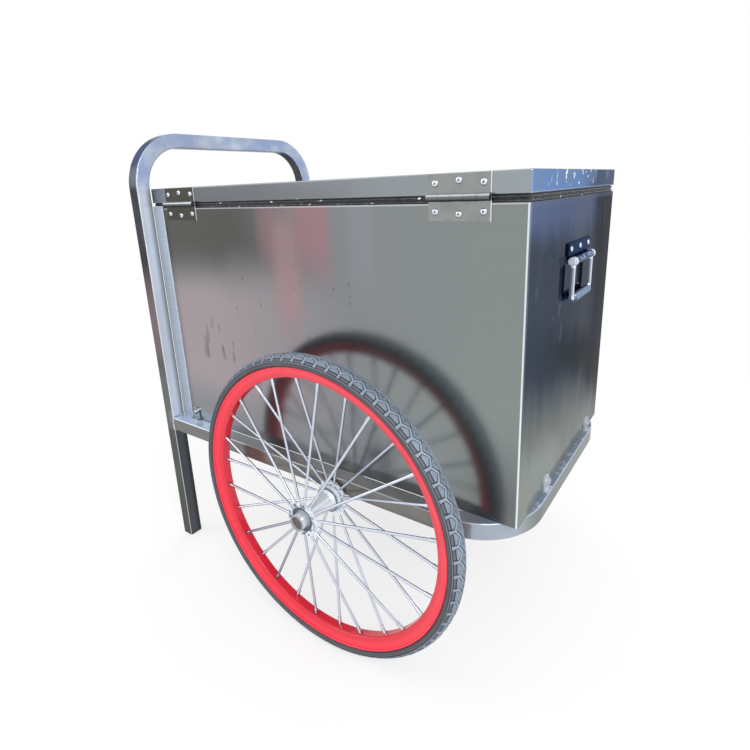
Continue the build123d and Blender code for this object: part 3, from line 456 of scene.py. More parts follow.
def lid_finish(colours):
    """Sheet of the lid: satin with painted shade over its rear half, a polished front edge with painted blue
    reflection, painted highlights along its top edge and the bottom of its front edge, and scraps of torn
    film.
    """
    material, shader, place = new_finish("satin_lid_sheet")
    x, y, z = axes(place)
    fine = noise(place, 1.0, (8, 900, 1400), detail=4.0)
    cloud = noise(place, 5.0, detail=2.0) - 0.5
    drift = x + cloud * 0.20
    # Painted shade over the rear half.
    tone = mix(between(drift, -0.10, 0.42), colours.lid_painted_shade, colours.lid)
    tone = mix((1 - between(x, -0.365, -0.325)) * 0.8, tone, (0.30, 0.32, 0.335))
    tone = mix(fine * 0.07, tone, (0.5, 0.5, 0.5))
    ahead = between(x, FRONT_X - 0.0022, FRONT_X - 0.0004)
    # Painted blue reflection on the polished front edge, darker towards the far end, with paler patches.
    far_end = between(y + cloud * 0.10, -0.02, 0.11)
    blue = mix(far_end, colours.lid_front_painted_reflection, (0.075, 0.105, 0.19))
    patch = patches(place, 0.50, 0.54, 13.0, (1, 1, 1.6), detail=2.0, seed=3.0)
    blue = mix(patch * 0.5, blue, (0.30, 0.41, 0.60))
    tone = mix(ahead, tone, blue)
    scraps = patches(place, 0.61, 0.65, 95.0, (1, 1, 0.8), detail=3.0, seed=6.0)
    scraps = scraps * ahead * band(y, -0.15, 0.07, 0.05) * between(z, LID_LOW.z + 0.004, LID_LOW.z + 0.010)
    near_scraps = patches(place, 0.69, 0.73, 120.0, detail=3.0, seed=9.0) * 0.7
    near_scraps = near_scraps * (1 - between(z, LID_LOW.z + 0.003, LID_LOW.z + 0.009))
    scraps = scraps + near_scraps * (1 - ahead)
    # Painted highlight along the top edge.
    tone = mix(between(z, LID_HIGH.z - 0.0014, LID_HIGH.z - 0.0006) * 0.65, tone, (0.70, 0.74, 0.78))
    # Painted highlight along the bottom of the front edge.
    low = 1 - between(z, LID_LOW.z + 0.0012, LID_LOW.z + 0.0026)
    tone = mix(low * ahead * 0.7, tone, (0.50, 0.60, 0.78))
    tone = mix(scraps, tone, colours.film)
    rough = 0.15 + fine * 0.12 + scraps * 0.4 - ahead * 0.11
    normal = bump(scraps, 0.5, 0.0006, bump(fine, 0.10, 0.0006))
    dress(shader, Base_Color=tone, Metallic=1 - scraps * 0.9, Roughness=rough, Normal=normal,
          Specular_Tint=(0.42, 0.45, 0.52, 1))
    return material


def tube_finish(colours):
    """Polished stainless tube with painted light, shade, reflections and highlights by the way that each face
    looks, painted shade in the joint with the chest, draw lines and weld heat.
    """
    material, shader, place = new_finish("polished_frame_tube")
    x, y, z = axes(place)
    ahead, across, up = facing(place)
    cloud = noise(place, 7.0, detail=3.0)
    lines = noise(place, 1.0, (260, 260, 260), detail=2.0)
    hoop = 1 - between(x, HOOP_HIGH.x + 0.0002, HOOP_HIGH.x + 0.0008)
    below = 1 - between(z, TUBE_LOW.z - 0.003, TUBE_LOW.z - 0.0005)
    drift = z + (cloud - 0.5) * 0.14
    # Sideward faces: painted shade, with a band of painted red reflection on the uprights and other tones by
    # height and along the rail.
    upright = mix(band(drift, 0.47, 0.64, 0.045) * 0.8, colours.hoop_side_painted_shade, (0.235, 0.155, 0.165))
    upright = mix((1 - between(drift, 0.40, 0.49)) * 0.8, upright, (0.19, 0.20, 0.19))
    under = between(x, -0.31, -0.17)
    rail = mix(under, colours.tube_side_painted_shade, (0.175, 0.168, 0.145))
    side = mix(hoop, rail, upright)
    side = mix(below, side, (0.105, 0.108, 0.088))
    # Upward faces: painted reflection, bluer on the front ledge.
    ledge = mix(between(x, 0.30, 0.40), (0.27, 0.272, 0.275), (0.26, 0.33, 0.46))
    ledge = mix(under, colours.tube_top_painted_reflection, ledge)
    level = mix(hoop, ledge, colours.hoop_top_painted_reflection)
    level_share = between(up, 0.25, 0.8) * (1 - hoop) + between(up, 0.80, 0.97) * hoop
    # Painted reflection on the front bends.
    bend = band(ahead, 0.25, 0.92, 0.10) * between(x, TUBE_HIGH.x - 0.11, TUBE_HIGH.x - 0.08)
    # Mottled painted blue reflection on the forward faces of the hoop's top.
    mottle = noise(place, 22.0, detail=4.0, seed=6.1)
    blue = mix(between(mottle, 0.40, 0.62), (0.375, 0.435, 0.56), (0.26, 0.335, 0.54))
    blue = mix(between(mottle * -1, -0.42, -0.34) * 0.6, blue, (0.52, 0.59, 0.72))
    # Painted shade on the forward faces of the uprights next to the chest.
    chest_side, tube_middle = 0.2402, 0.2535
    near_chest = 1 - between(y * y, chest_side ** 2, tube_middle ** 2)
    inward = mix(near_chest * 0.75, colours.hoop_front_painted_light, (0.15, 0.175, 0.20))
    front = mix(hoop, colours.tube_front_painted_shade, mix(between(z, 0.815, 0.86), inward, blue))
    # Painted shade and reflection on the sideward faces of the hoop's bends.
    bow = band(up, 0.22, 0.84, 0.14) * hoop
    side = mix(bow, side, mix(between(up, 0.3, 0.7), (0.06, 0.07, 0.10), (0.11, 0.14, 0.30)))
    tone = mix(between(ahead, 0.25, 0.8), side, front)
    tone = mix(bend * 0.85, tone, colours.tube_bend_painted_reflection)
    tone = mix(level_share, tone, level)
    # Painted highlights on the hoop's near front corners and on the rounded top edges of the frame.
    edge = band(ahead, 0.30, 0.75, 0.12) * band(across, -0.95, -0.55, 0.12) * hoop
    painted_rim_highlight = band(up, 0.30, 0.75, 0.12) * (1 - hoop)
    tone = mix(painted_rim_highlight * 0.6, tone, (0.58, 0.62, 0.66))
    tone = mix(between(cloud, 0.42, 0.66) * 0.20, tone, (0.30, 0.31, 0.32))
    tone = mix(lines * 0.08, tone, (0.62, 0.64, 0.66))
    # Painted shade on the forward faces of the hoop below the frame.
    tone = mix(below * hoop * between(ahead, 0.25, 0.8) * 0.9, tone, colours.tube_leg_painted_shade)
    tone = mix(edge * 0.8, tone, PAINTED_EDGE_HIGHLIGHT)
    # Painted shade in the joint of the uprights with the chest.
    joint = hoop * between(across, 0.15, 0.5) * between(ahead, 0.05, 0.3) * (1 - below)
    tone = mix(joint * 0.95, tone, (0.03, 0.034, 0.038))
    film = patches(place, 0.52, 0.62, 60.0, detail=6.0, seed=3.3) * between(up, 0.6, 0.9)
    film = film * between(x, TUBE_HIGH.x - 0.045, TUBE_HIGH.x - 0.030) * (1 - hoop)
    tone = mix(film * 0.75, tone, (0.52, 0.58, 0.72))
    heat = band(x, HOOP_HIGH.x - 0.010, HOOP_HIGH.x + 0.016, 0.012) * band(z, 0.270, 0.335, 0.014)
    tone = mix(heat * between(cloud, 0.3, 0.6) * 0.55, tone, (0.62, 0.66, 0.74))
    rough = 0.11 + cloud * 0.12 + heat * 0.15 + film * 0.1
    normal = bump(film, 0.4, 0.0008, bump(lines, 0.08, 0.0006))
    pale = between(ahead, 0.3, 0.8) * hoop * (1 - below) * (1 - joint) * 0.75
    dress(shader, Base_Color=tone, Metallic=0.5 + hoop * 0.5 - pale, Roughness=rough, Normal=normal,
          Specular_Tint=(0.45, 0.47, 0.52, 1))
    return material


def weld_finish(colours):
    """Bare weld metal with straw and blue heat marks."""
    material, shader, place = new_finish("weld_bead")
    cloud = noise(place, 55.0, detail=3.0)
    tone = mix(between(cloud, 0.35, 0.65), (0.52, 0.55, 0.60), (0.30, 0.28, 0.27))
    tone = mix(patches(place, 0.52, 0.66, 25.0, seed=5.0) * 0.5, tone, (0.26, 0.30, 0.42))
    dress(shader, Base_Color=tone, Metallic=1.0, Roughness=0.28 + cloud * 0.15)
    return material


def inner_finish(colours):
    """Plain stainless sheet inside the chest and the lid, with wipe marks."""
    material, shader, place = new_finish("inner_sheet")
    fine = noise(place, 1.0, (700, 700, 14), detail=3.0)
    cloud = noise(place, 6.0, detail=4.0)
    tone = mix(between(cloud, 0.35, 0.68) * 0.3, colours.inner, (0.32, 0.33, 0.34))
    tone = mix(fine * 0.12, tone, (0.7, 0.71, 0.72))
    dress(shader, Base_Color=tone, Metallic=1.0, Roughness=0.26 + fine * 0.14,
          Normal=bump(fine, 0.12, 0.0005))
    return material


def foam_finish(colours):
    """Insulation foam with open cells."""
    material, shader, place = new_finish("insulation_foam")
    cells = place.make("ShaderNodeTexVoronoi", None, {"Vector": place, "Scale": 420.0})
    tone = mix(between(cells, 0.0, 0.5), (0.60, 0.52, 0.30), colours.foam)
    dress(shader, Base_Color=tone, Roughness=0.9, Normal=bump(cells, 0.4, 0.001))
    return material


def gasket_finish(colours):
    """Black rubber with dusty ridges and torn white film along its lower edge."""
    material, shader, place = new_finish("gasket_rubber")
    z = axes(place)[2]
    dust = noise(place, 90.0, (1, 1, 2), detail=4.0)
    tone = mix(between(dust, 0.45, 0.75) * 0.5, colours.gasket, (0.10, 0.105, 0.115))
    scraps = patches(place, 0.655, 0.69, 140.0, (0.7, 0.7, 1.6), detail=3.0, seed=1.5)
    scraps = scraps * (1 - between(z, GASKET_LOW.z + 0.0020, GASKET_LOW.z + 0.0055))
    upper = patches(place, 0.71, 0.74, 95.0, (0.8, 0.8, 1.3), detail=3.0, seed=7.5)
    scraps = scraps + upper * between(z, GASKET_LOW.z + 0.004, GASKET_LOW.z + 0.007)
    tone = mix(scraps, tone, colours.film)
    dress(shader, Base_Color=tone, Roughness=0.38 + dust * 0.25, Normal=bump(dust, 0.2, 0.0006))
    return material


def hinge_finish(colours):
    """Satin hinge steel: the rear hinge is in painted shade, the knuckles have a painted highlight on top and
    painted shade beneath, and the cut ends have a painted highlight.
    """
    material, shader, place = new_finish("hinge_steel")
    x, y, _ = axes(place)
    up = facing(place)[2]
    fine = noise(place, 1.0, (60, 60, 1500), detail=3.0)
    cloud = noise(place, 60.0, detail=3.0)
    # Painted shade on the rear hinge.
    tone = mix(1 - between(x, -0.15, 0.15), colours.hinge, (0.068, 0.073, 0.056))
    # Painted highlight on top of the knuckles and painted shade beneath.
    barrel = 1 - between(y, CHEST_LOW.y - 0.0042, CHEST_LOW.y - 0.0026)
    barrel_painted_light_and_shade = mix(between(up, 0.10, 0.62), (0.15, 0.155, 0.16), (0.62, 0.65, 0.69))
    barrel_painted_light_and_shade = mix(between(up * -1, 0.15, 0.7), barrel_painted_light_and_shade, (0.055, 0.055, 0.055))
    tone = mix(barrel, tone, barrel_painted_light_and_shade)
    tone = mix(between(cloud, 0.5, 0.7) * 0.2, tone, (0.12, 0.125, 0.12))
    # Painted highlight on the cut ends of the leaves.
    for leaf in ("front_hinge_upper_leaf", "rear_hinge_upper_leaf"):
        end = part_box(leaf)[1].x
        tone = mix(band(x, end - 0.0012, end + 0.001, 0.0003) * (1 - barrel), tone, (0.84, 0.87, 0.91))
    dress(shader, Base_Color=tone, Metallic=0.85, Roughness=0.16 + fine * 0.10,
          Normal=bump(fine, 0.05, 0.0004), Specular_Tint=(0.6, 0.6, 0.62, 1))
    return material


def rivet_finish(colours):
    """Bright rivet heads with painted shade underneath and in the hole of the broken mandrel, and small
    dents.
    """
    material, shader, place = new_finish("rivet_aluminium")
    hole = place.make("ShaderNodeAttribute", {"attribute_name": "hole"}, output="Fac")
    up = facing(place)[2]
    cloud = noise(place, 380.0, detail=2.0)
    tone = mix(between(cloud, 0.45, 0.7) * 0.35, colours.rivet, (0.46, 0.48, 0.54))
    # Painted shade on the faces that look down.
    tone = mix(between(up * -1, 0.10, 0.75) * 0.75, tone, (0.20, 0.225, 0.30))
    # Painted shade in the hole.
    tone = mix(hole, tone, (0.045, 0.045, 0.05))
    dress(shader, Base_Color=tone, Metallic=1 - hole * 0.6, Roughness=0.2 + cloud * 0.15,
          Normal=bump(cloud, 0.2, 0.0006), Specular_Tint=(0.5, 0.52, 0.6, 1))
    return material


def chrome_finish(colours):
    """Chrome plate of the bail: bright flanks and eyes, a painted dark reflection along the middle and a
    faint haze.
    """
    material, shader, place = new_finish("bail_chrome")
    pin_height = middle("carry_pin").z
    eye = between(axes(place)[2], pin_height - 0.011, pin_height - 0.007)
    ahead, across, up = facing(place)
    haze = noise(place, 95.0, detail=4.0)
    tone = mix(between(haze, 0.42, 0.7) * 0.2, colours.chrome, (0.56, 0.63, 0.76))
    # Painted dark reflection along the middle of the legs.
    shade = between(ahead * 0.34 - across * 0.94, 0.80, 0.97) * (1 - between(up, 0.15, 0.5)) * (1 - eye)
    tone = mix(shade * 0.75, tone, (0.11, 0.145, 0.23))
    dress(shader, Base_Color=tone, Metallic=1 - eye * 0.6, Roughness=0.07 + haze * 0.06 + eye * 0.15,
          Normal=bump(haze, 0.10, 0.0008), Specular_Tint=(0.45, 0.50, 0.62, 1))
    return material


def grip_finish(colours):
    """Dull steel sleeve, rubbed along its length and painted lighter on top."""
    material, shader, place = new_finish("grip_steel")
    up = facing(place)[2]
    rubbed = noise(place, 1.0, (420, 30, 420), detail=4.0)
    tone = mix(between(rubbed, 0.4, 0.7) * 0.4, colours.grip, (0.17, 0.21, 0.29))
    # Painted light on the upward faces.
    tone = mix(between(up, 0.25, 0.85) * 0.55, tone, (0.38, 0.46, 0.58))
    dress(shader, Base_Color=tone, Metallic=1.0, Roughness=0.22 + rubbed * 0.16,
          Normal=bump(rubbed, 0.15, 0.0005), Specular_Tint=(0.45, 0.48, 0.55, 1))
    return material


def rim_finish(colours, centre):
    """Glossy red paint on a rolled rim, with a rubbed edge, painted shade in the bed and a joint line."""
    material, shader, place = new_finish("red_rim_paint")
    radius, moved = from_wheel(place, centre)
    x, _, z = axes(moved)
    cloud = noise(moved, 26.0, detail=4.0)
    peel = noise(moved, 240.0, detail=2.0)
    tone = mix(between(cloud, 0.45, 0.72) * 0.30, colours.red, (0.66, 0.015, 0.036))
    # Painted shade in the bed.
    bed = 1 - between(radius, RIM_RADIUS - 0.016, RIM_RADIUS - 0.010)
    tone = mix(bed * 0.45, tone, (0.52, 0.010, 0.024))
    scuffs = patches(moved, 0.66, 0.70, 140.0, (1, 2.0, 1), detail=5.0, seed=3.0)
    scuffs = scuffs * between(radius, RIM_RADIUS - 0.0030, RIM_RADIUS - 0.0012)
    tone = mix(scuffs * 0.5, tone, (0.55, 0.20, 0.20))
    turn = x.sum("ARCTAN2", z, x)
    joint = band(turn, -0.5225, -0.5185, 0.0011)
    tone = mix(joint * 0.55, tone, (0.30, 0.012, 0.02))
    rough = 0.22 + between(cloud, 0.4, 0.7) * 0.08 + scuffs * 0.3
    normal = bump(peel, 0.07, 0.0012, bump(joint, 0.3, 0.0006))
    dress(shader, Base_Color=tone, Roughness=rough, Coat_Weight=0.3, Coat_Roughness=0.10, Normal=normal,
          Specular_IOR_Level=0.3)
    return material


def tread_finish(colours, centre):
    """Rubber of the tread: pale webs, partly dust and partly painted sky reflection, greyer blocks, and
    painted shade on the grooves, the block walls and the flanks.
    """
    material, shader, place = new_finish("tread_rubber")
    moved = from_wheel(place, centre)[1]
    worn = place.make("ShaderNodeAttribute", {"attribute_name": "worn"}, output="Fac")
    dust = noise(moved, 130.0, detail=5.0)
    broad = noise(moved, 9.0, detail=2.0, seed=4.0)
    fine = noise(moved, 900.0, detail=2.0)
    # The pale end is partly dust and partly painted sky reflection; the dark end is painted shade.
    tone = mix(worn * (0.62 + (dust - 0.5) * 0.7 + broad * 0.5), colours.groove, colours.rubber_dust_and_painted_reflection)
    dress(shader, Base_Color=tone, Roughness=0.5 + dust * 0.25, Normal=bump(fine, 0.2, 0.0005))
    return material


def sidewall_finish(colours, centre):
    """Smooth rubber of the sidewalls with mould rings and a dusty bloom, and painted shade under the tread.
    """
    material, shader, place = new_finish("sidewall_rubber")
    radius, moved = from_wheel(place, centre)
    bloom = noise(moved, 20.0, detail=5.0)
    rings = place.sum("SINE", radius * 5200.0, 0.0)
    # Painted shade under the tread, which shows in the grooves.
    crown = between(radius, TYRE_RADIUS - 0.0105, TYRE_RADIUS - 0.0085)
    tone = mix(between(bloom, 0.35, 0.7) * 0.55, colours.rubber, (0.05, 0.047, 0.056))
    tone = mix(crown, tone, colours.groove)
    dress(shader, Base_Color=tone, Roughness=0.42 + bloom * 0.2, Normal=bump(rings, 0.06, 0.0004))
    return material


def zinc_finish(colours, centre):
    """Zinc plate on spokes, nipples and hubs: dull spangle, and painted shade in the dish, the joints and at
    the lip of each hub, and in patches on the flange face.
    """
    material, shader, place = new_finish("zinc_plate")
    radius, moved = from_wheel(place, centre)
    cloud = noise(moved, 120.0, detail=4.0)
    spots = place.make("ShaderNodeTexVoronoi", None, {"Vector": moved, "Scale": 210.0}, output=1)
    grey = spots.make("ShaderNodeRGBToBW", None, {"Color": spots})
    hub = 1 - between(radius, 0.032, 0.036)
    tone = mix(hub, colours.zinc, (0.85, 0.92, 0.97))
    tone = mix(between(cloud, 0.42, 0.70) * (0.30 - hub * 0.18), tone, (0.50, 0.54, 0.62))
    tone = mix(grey * 0.10, tone, (0.88, 0.92, 0.97))
    out = axes(moved)[1] * math.copysign(1, centre.y)
    # Painted shade in the dish, in patches on the flange face, in the joints and at the lip of each hub.
    dish = between(out, 0.0374, 0.0382) * band(radius, 0.0148, 0.0222, 0.0006)
    face = between(out, 0.0392, 0.0402) * band(radius, 0.0226, 0.0300, 0.0006)
    joints = band(out, -0.0275, -0.0250, 0.0007) + band(out, -0.0382, -0.0360, 0.0007)
    joints = joints + between(out, 0.031, 0.038) * 0.6
    joints = joints * band(radius, 0.010, 0.0242, 0.0005) * (1 - between(out, 0.0380, 0.0384))
    hub_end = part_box("far_hub")[1].y - middle("far_rim").y
    lip = between(out, hub_end - 0.0012, hub_end - 0.0006) * hub
    dark = dish * 0.85 + face * between(cloud, 0.40, 0.56) * 0.7 + joints * 0.7 + lip * 0.55
    tone = mix(between(dark, 0.0, 1.0), tone, (0.085, 0.105, 0.135))
    dress(shader, Base_Color=tone, Metallic=1 - hub * 0.45, Roughness=0.15 + cloud * 0.18 + hub * 0.12,
          Specular_Tint=(0.06, 0.07, 0.14, 1))
    return material


def axle_finish(colours):
    """Turned steel with a thin brown film of rust."""
    material, shader, place = new_finish("axle_steel")
    turned = noise(place, 1.0, (40, 1800, 40), detail=2.0)
    rust = patches(place, 0.54, 0.68, 70.0, detail=5.0)
    tone = mix(turned * 0.3, colours.axle, (0.55, 0.58, 0.59))
    tone = mix(rust * 0.30, tone, (0.20, 0.15, 0.11))
    dress(shader, Base_Color=tone, Metallic=1 - rust * 0.4, Roughness=0.24 + rust * 0.3)
    return material


def plug_finish(colours):
    """Brown pressed disc with greasy dirt."""
    material, shader, place = new_finish("hub_plug_disc")
    dirt = noise(place, 260.0, detail=4.0)
    tone = mix(between(dirt, 0.4, 0.65), colours.plug, (0.19, 0.15, 0.145))
    dress(shader, Base_Color=tone, Metallic=0.5, Roughness=0.4 + dirt * 0.2, Normal=bump(dirt, 0.2, 0.0006))
    return material


def ring_finish(colours):
    """Black dust ring, worn grey in places."""
    material, shader, place = new_finish("dust_ring_black")
    worn = noise(place, 180.0, detail=4.0)
    tone = mix(between(worn, 0.5, 0.7) * 0.4, (0.012, 0.012, 0.014), (0.10, 0.10, 0.11))
    dress(shader, Base_Color=tone, Roughness=0.35 + worn * 0.25)
    return material


def lug_finish(colours):
    """Lugs and bolts of the chest: painted shade at the sides, painted light at the front, with painted
    highlights on the upper edges.
    """
    material, shader, place = new_finish("lug_steel")
    front = between(axes(place)[0], 0.0, 0.3)
    up = facing(place)[2]
    cloud = noise(place, 150.0, detail=4.0)
    tone = mix(between(cloud, 0.5, 0.7) * 0.3, colours.lug, (0.36, 0.40, 0.46))
    # Painted shade on the lugs at the sides, painted light on those at the front.
    tone = mix(front, (0.30, 0.325, 0.34), tone)
    # Painted highlight on the upward faces.
    tone = mix(between(up, 0.15, 0.6) * (0.3 + front * 0.4), tone, (0.90, 0.93, 0.96))
    dress(shader, Base_Color=tone, Metallic=0.9 - front * 0.15, Roughness=0.10 + cloud * 0.10,
          Specular_Tint=(0.25, 0.28, 0.34, 1))
    return material


def plate_finish(colours):
    """Dark polished plate of the carry handle, with painted highlights on its upper faces and a barrel of
    mottled painted reflection with painted shade beneath.
    """
    material, shader, place = new_finish("carry_plate_steel")
    up = facing(place)[2]
    haze = noise(place, 150.0, (1, 0.6, 1), detail=5.0)
    barrel = between(axes(place)[0], FRONT_X + 0.0035, FRONT_X + 0.0050)
    # Mottled painted reflection on the barrel, with painted shade on its lower faces.
    mottle = mix(between(haze, 0.40, 0.60), (0.10, 0.13, 0.24), (0.58, 0.68, 0.90))
    mottle = mix(between(up * -1, -0.15, 0.35), mottle, (0.035, 0.045, 0.085))
    tone = mix(barrel, colours.plate, mottle)
    # Painted highlight on the upward faces of the plate.
    tone = mix(between(up, 0.6, 0.95) * (1 - barrel), tone, (0.62, 0.68, 0.80))
    dress(shader, Base_Color=tone, Metallic=1.0, Roughness=0.07 + haze * 0.08,
          Normal=bump(haze, 0.15, 0.0008), Specular_Tint=(0.35, 0.38, 0.46, 1))
    return material


def seats_of(node):
    """Boxes of the separate solids of a CAD node, in the order of their lowest corners."""
    solid = bmesh.new()
    solid.from_mesh(NODES[node].data)
    bmesh.ops.remove_doubles(solid, verts=solid.verts, dist=MERGE_DISTANCE)
    left = set(solid.verts)
    boxes = []
    while left:
        grown = [left.pop()]
        low, high = grown[0].co.copy(), grown[0].co.copy()
        while grown:
            vert = grown.pop()
            for axis in range(3):
                low[axis] = min(low[axis], vert.co[axis])
                high[axis] = max(high[axis], vert.co[axis])
            for edge in vert.link_edges:
                other = edge.other_vert(vert)
                if other in left:
                    left.remove(other)
                    grown.append(other)
        boxes.append((low, high))
    solid.free()
    return sorted(boxes, key=lambda box: box[0][:])


def rivet_mesh(name, sizes, seats):
    """A domed rivet head with a hole, round the origin and looking up, and its seats as loose points."""
    radius, height, hole = sizes.rivet_radius, sizes.rivet_height, sizes.rivet_hole
    # The third number of each ring is painted shade for the hole, kept in the hole attribute.
    line = [(radius, 0.0, 0.0), (radius * 0.98, height * 0.22, 0.0), (radius * 0.86, height * 0.56, 0.0),
            (radius * 0.66, height * 0.83, 0.0), (hole * 1.35, height * 0.97, 0.0), (hole, height, 0.35),
            (hole * 0.9, height * 0.35, 1.0), (hole * 0.55, height * 0.30, 0.6),
            (hole * 0.3, height * 0.45, 0.35)]
    count = 20
    points, faces, dark = [], [], []
    for reach, rise, shade in line:
        for step in range(count):
            angle = math.tau * step / count
            points.append((reach * math.cos(angle), reach * math.sin(angle), rise))
            dark.append(shade)
    for row in range(len(line) - 1):
        for step in range(count):
            side = (step + 1) % count
            first, after = row * count, (row + 1) * count
            faces.append((first + step, first + side, after + side, after + step))
    faces.append(tuple(range((len(line) - 1) * count, len(line) * count)))
    faces.append(tuple(reversed(range(count))))
    mesh = bpy.data.meshes.new(name)
    mesh.from_pydata(points + seats, [], faces)
    mesh.attributes.new("seat", "BOOLEAN", "POINT").data.foreach_set(
        "value", [False] * len(points) + [True] * len(seats)
    )
    mesh.attributes.new("hole", "FLOAT", "POINT").data.foreach_set("value", dark + [0.0] * len(seats))
    mesh.polygons.foreach_set("use_smooth", [True] * len(mesh.polygons))
    return mesh


def paint(material, *names):
    """Give CAD nodes a finish, in every slot that they have."""
    for name in names:
        mesh = NODES[name].data
        if not mesh.materials:
            mesh.materials.append(material)
        for index in range(len(mesh.materials)):
            mesh.materials[index] = material


def new_piece(name, mesh, material, body):
    """A piece that is made here: linked, with its finish, on its body."""
    piece = bpy.data.objects.new(name, mesh)
    bpy.context.scene.collection.objects.link(piece)
    mesh.materials.append(material)
    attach(piece, body)
    return piece


def closed_mesh(name, points, faces, smooth=False, **shares):
    """A mesh with its doubles merged and its faces outwards. Each of the shares holds a number by point."""
    mesh = bpy.data.meshes.new(name)
    mesh.from_pydata(points, [], faces)
    for label, values in shares.items():
        mesh.attributes.new(label, "FLOAT", "POINT").data.foreach_set("value", values)
    shell = bmesh.new()
    shell.from_mesh(mesh)
    bmesh.ops.remove_doubles(shell, verts=shell.verts, dist=MERGE_DISTANCE)
    bmesh.ops.recalc_face_normals(shell, faces=shell.faces)
    for face in shell.faces:
        face.smooth = smooth
    shell.to_mesh(mesh)
    shell.free()
    return mesh


def rings_of_faces(rows, count):
    """Faces of a tube whose rows of points close on themselves, and which closes on itself too."""
    faces = []
    for row in range(rows):
        for step in range(count):
            after = (row + 1) % rows
            side = (step + 1) % count
            faces.append(
                (row * count + step, row * count + side, after * count + side, after * count + step)
            )
    return faces


def circle_through(first, second, third):
    """Centre and radius of the circle through three flat points."""
    (ax, ay), (bx, by), (cx, cy) = first, second, third
    twice = 2 * (ax * (by - cy) + bx * (cy - ay) + cx * (ay - by))
    a, b, c = ax * ax + ay * ay, bx * bx + by * by, cx * cx + cy * cy
    x = (a * (by - cy) + b * (cy - ay) + c * (ay - by)) / twice
    y = (a * (cx - bx) + b * (ax - cx) + c * (bx - ax)) / twice
    return Vector((x, y)), math.hypot(ax - x, ay - y)


# Share of the pale tread colour on each kind of block top; feet get none, so the walls grade into painted
# shade. The low shares of the dimples and the flanks are painted shade.
TREAD_TONES = {"diamond": 0.54, "dimple": 0.22, "web": 0.84, "stem": 0.78, "block": 0.62, "flank": 0.26,
               "ring": 0.62, "rib": 0.22}


class TyreSkin:
    """The tyre's outer line, by the distance along it from the middle of the crown."""

    def __init__(self, sizes):
        half = sizes.shoulder_width / 2
        shoulder = (TYRE_RADIUS - sizes.shoulder_drop, half)
        bulge = (RIM_RADIUS + sizes.bulge_rise, (TYRE_HIGH.y - TYRE_LOW.y) / 2)
        lip_rise, lip_inset = 0.0004, 0.002
        lip = (RIM_RADIUS + lip_rise, (RIM_HIGH.y - RIM_LOW.y) / 2 - lip_inset)
        self.crown_middle, self.crown_radius = circle_through(
            shoulder, (TYRE_RADIUS, 0.0), (shoulder[0], -half)
        )
        self.wall_middle, self.wall_radius = circle_through(shoulder, bulge, lip)
        self.shoulder = self.crown_radius * math.asin(half / self.crown_radius)
        self.wall_start = math.atan2(shoulder[1] - self.wall_middle.y, shoulder[0] - self.wall_middle.x)
        wall_end = math.atan2(lip[1] - self.wall_middle.y, lip[0] - self.wall_middle.x)
        self.edge = self.shoulder + self.wall_radius * (wall_end - self.wall_start)

    def at(self, along):
        """Place and outward direction, each as radius and offset."""
        side = -1.0 if along < 0 else 1.0
        along = abs(along)
        if along <= self.shoulder:
            angle = along / self.crown_radius
            centre, reach = self.crown_middle, self.crown_radius
        else:
            angle = self.wall_start + (along - self.shoulder) / self.wall_radius
            centre, reach = self.wall_middle, self.wall_radius
        way = Vector((math.cos(angle), math.sin(angle)))
        spot = centre + way * reach
        return Vector((spot.x, side * spot.y)), Vector((way.x, side * way.y))


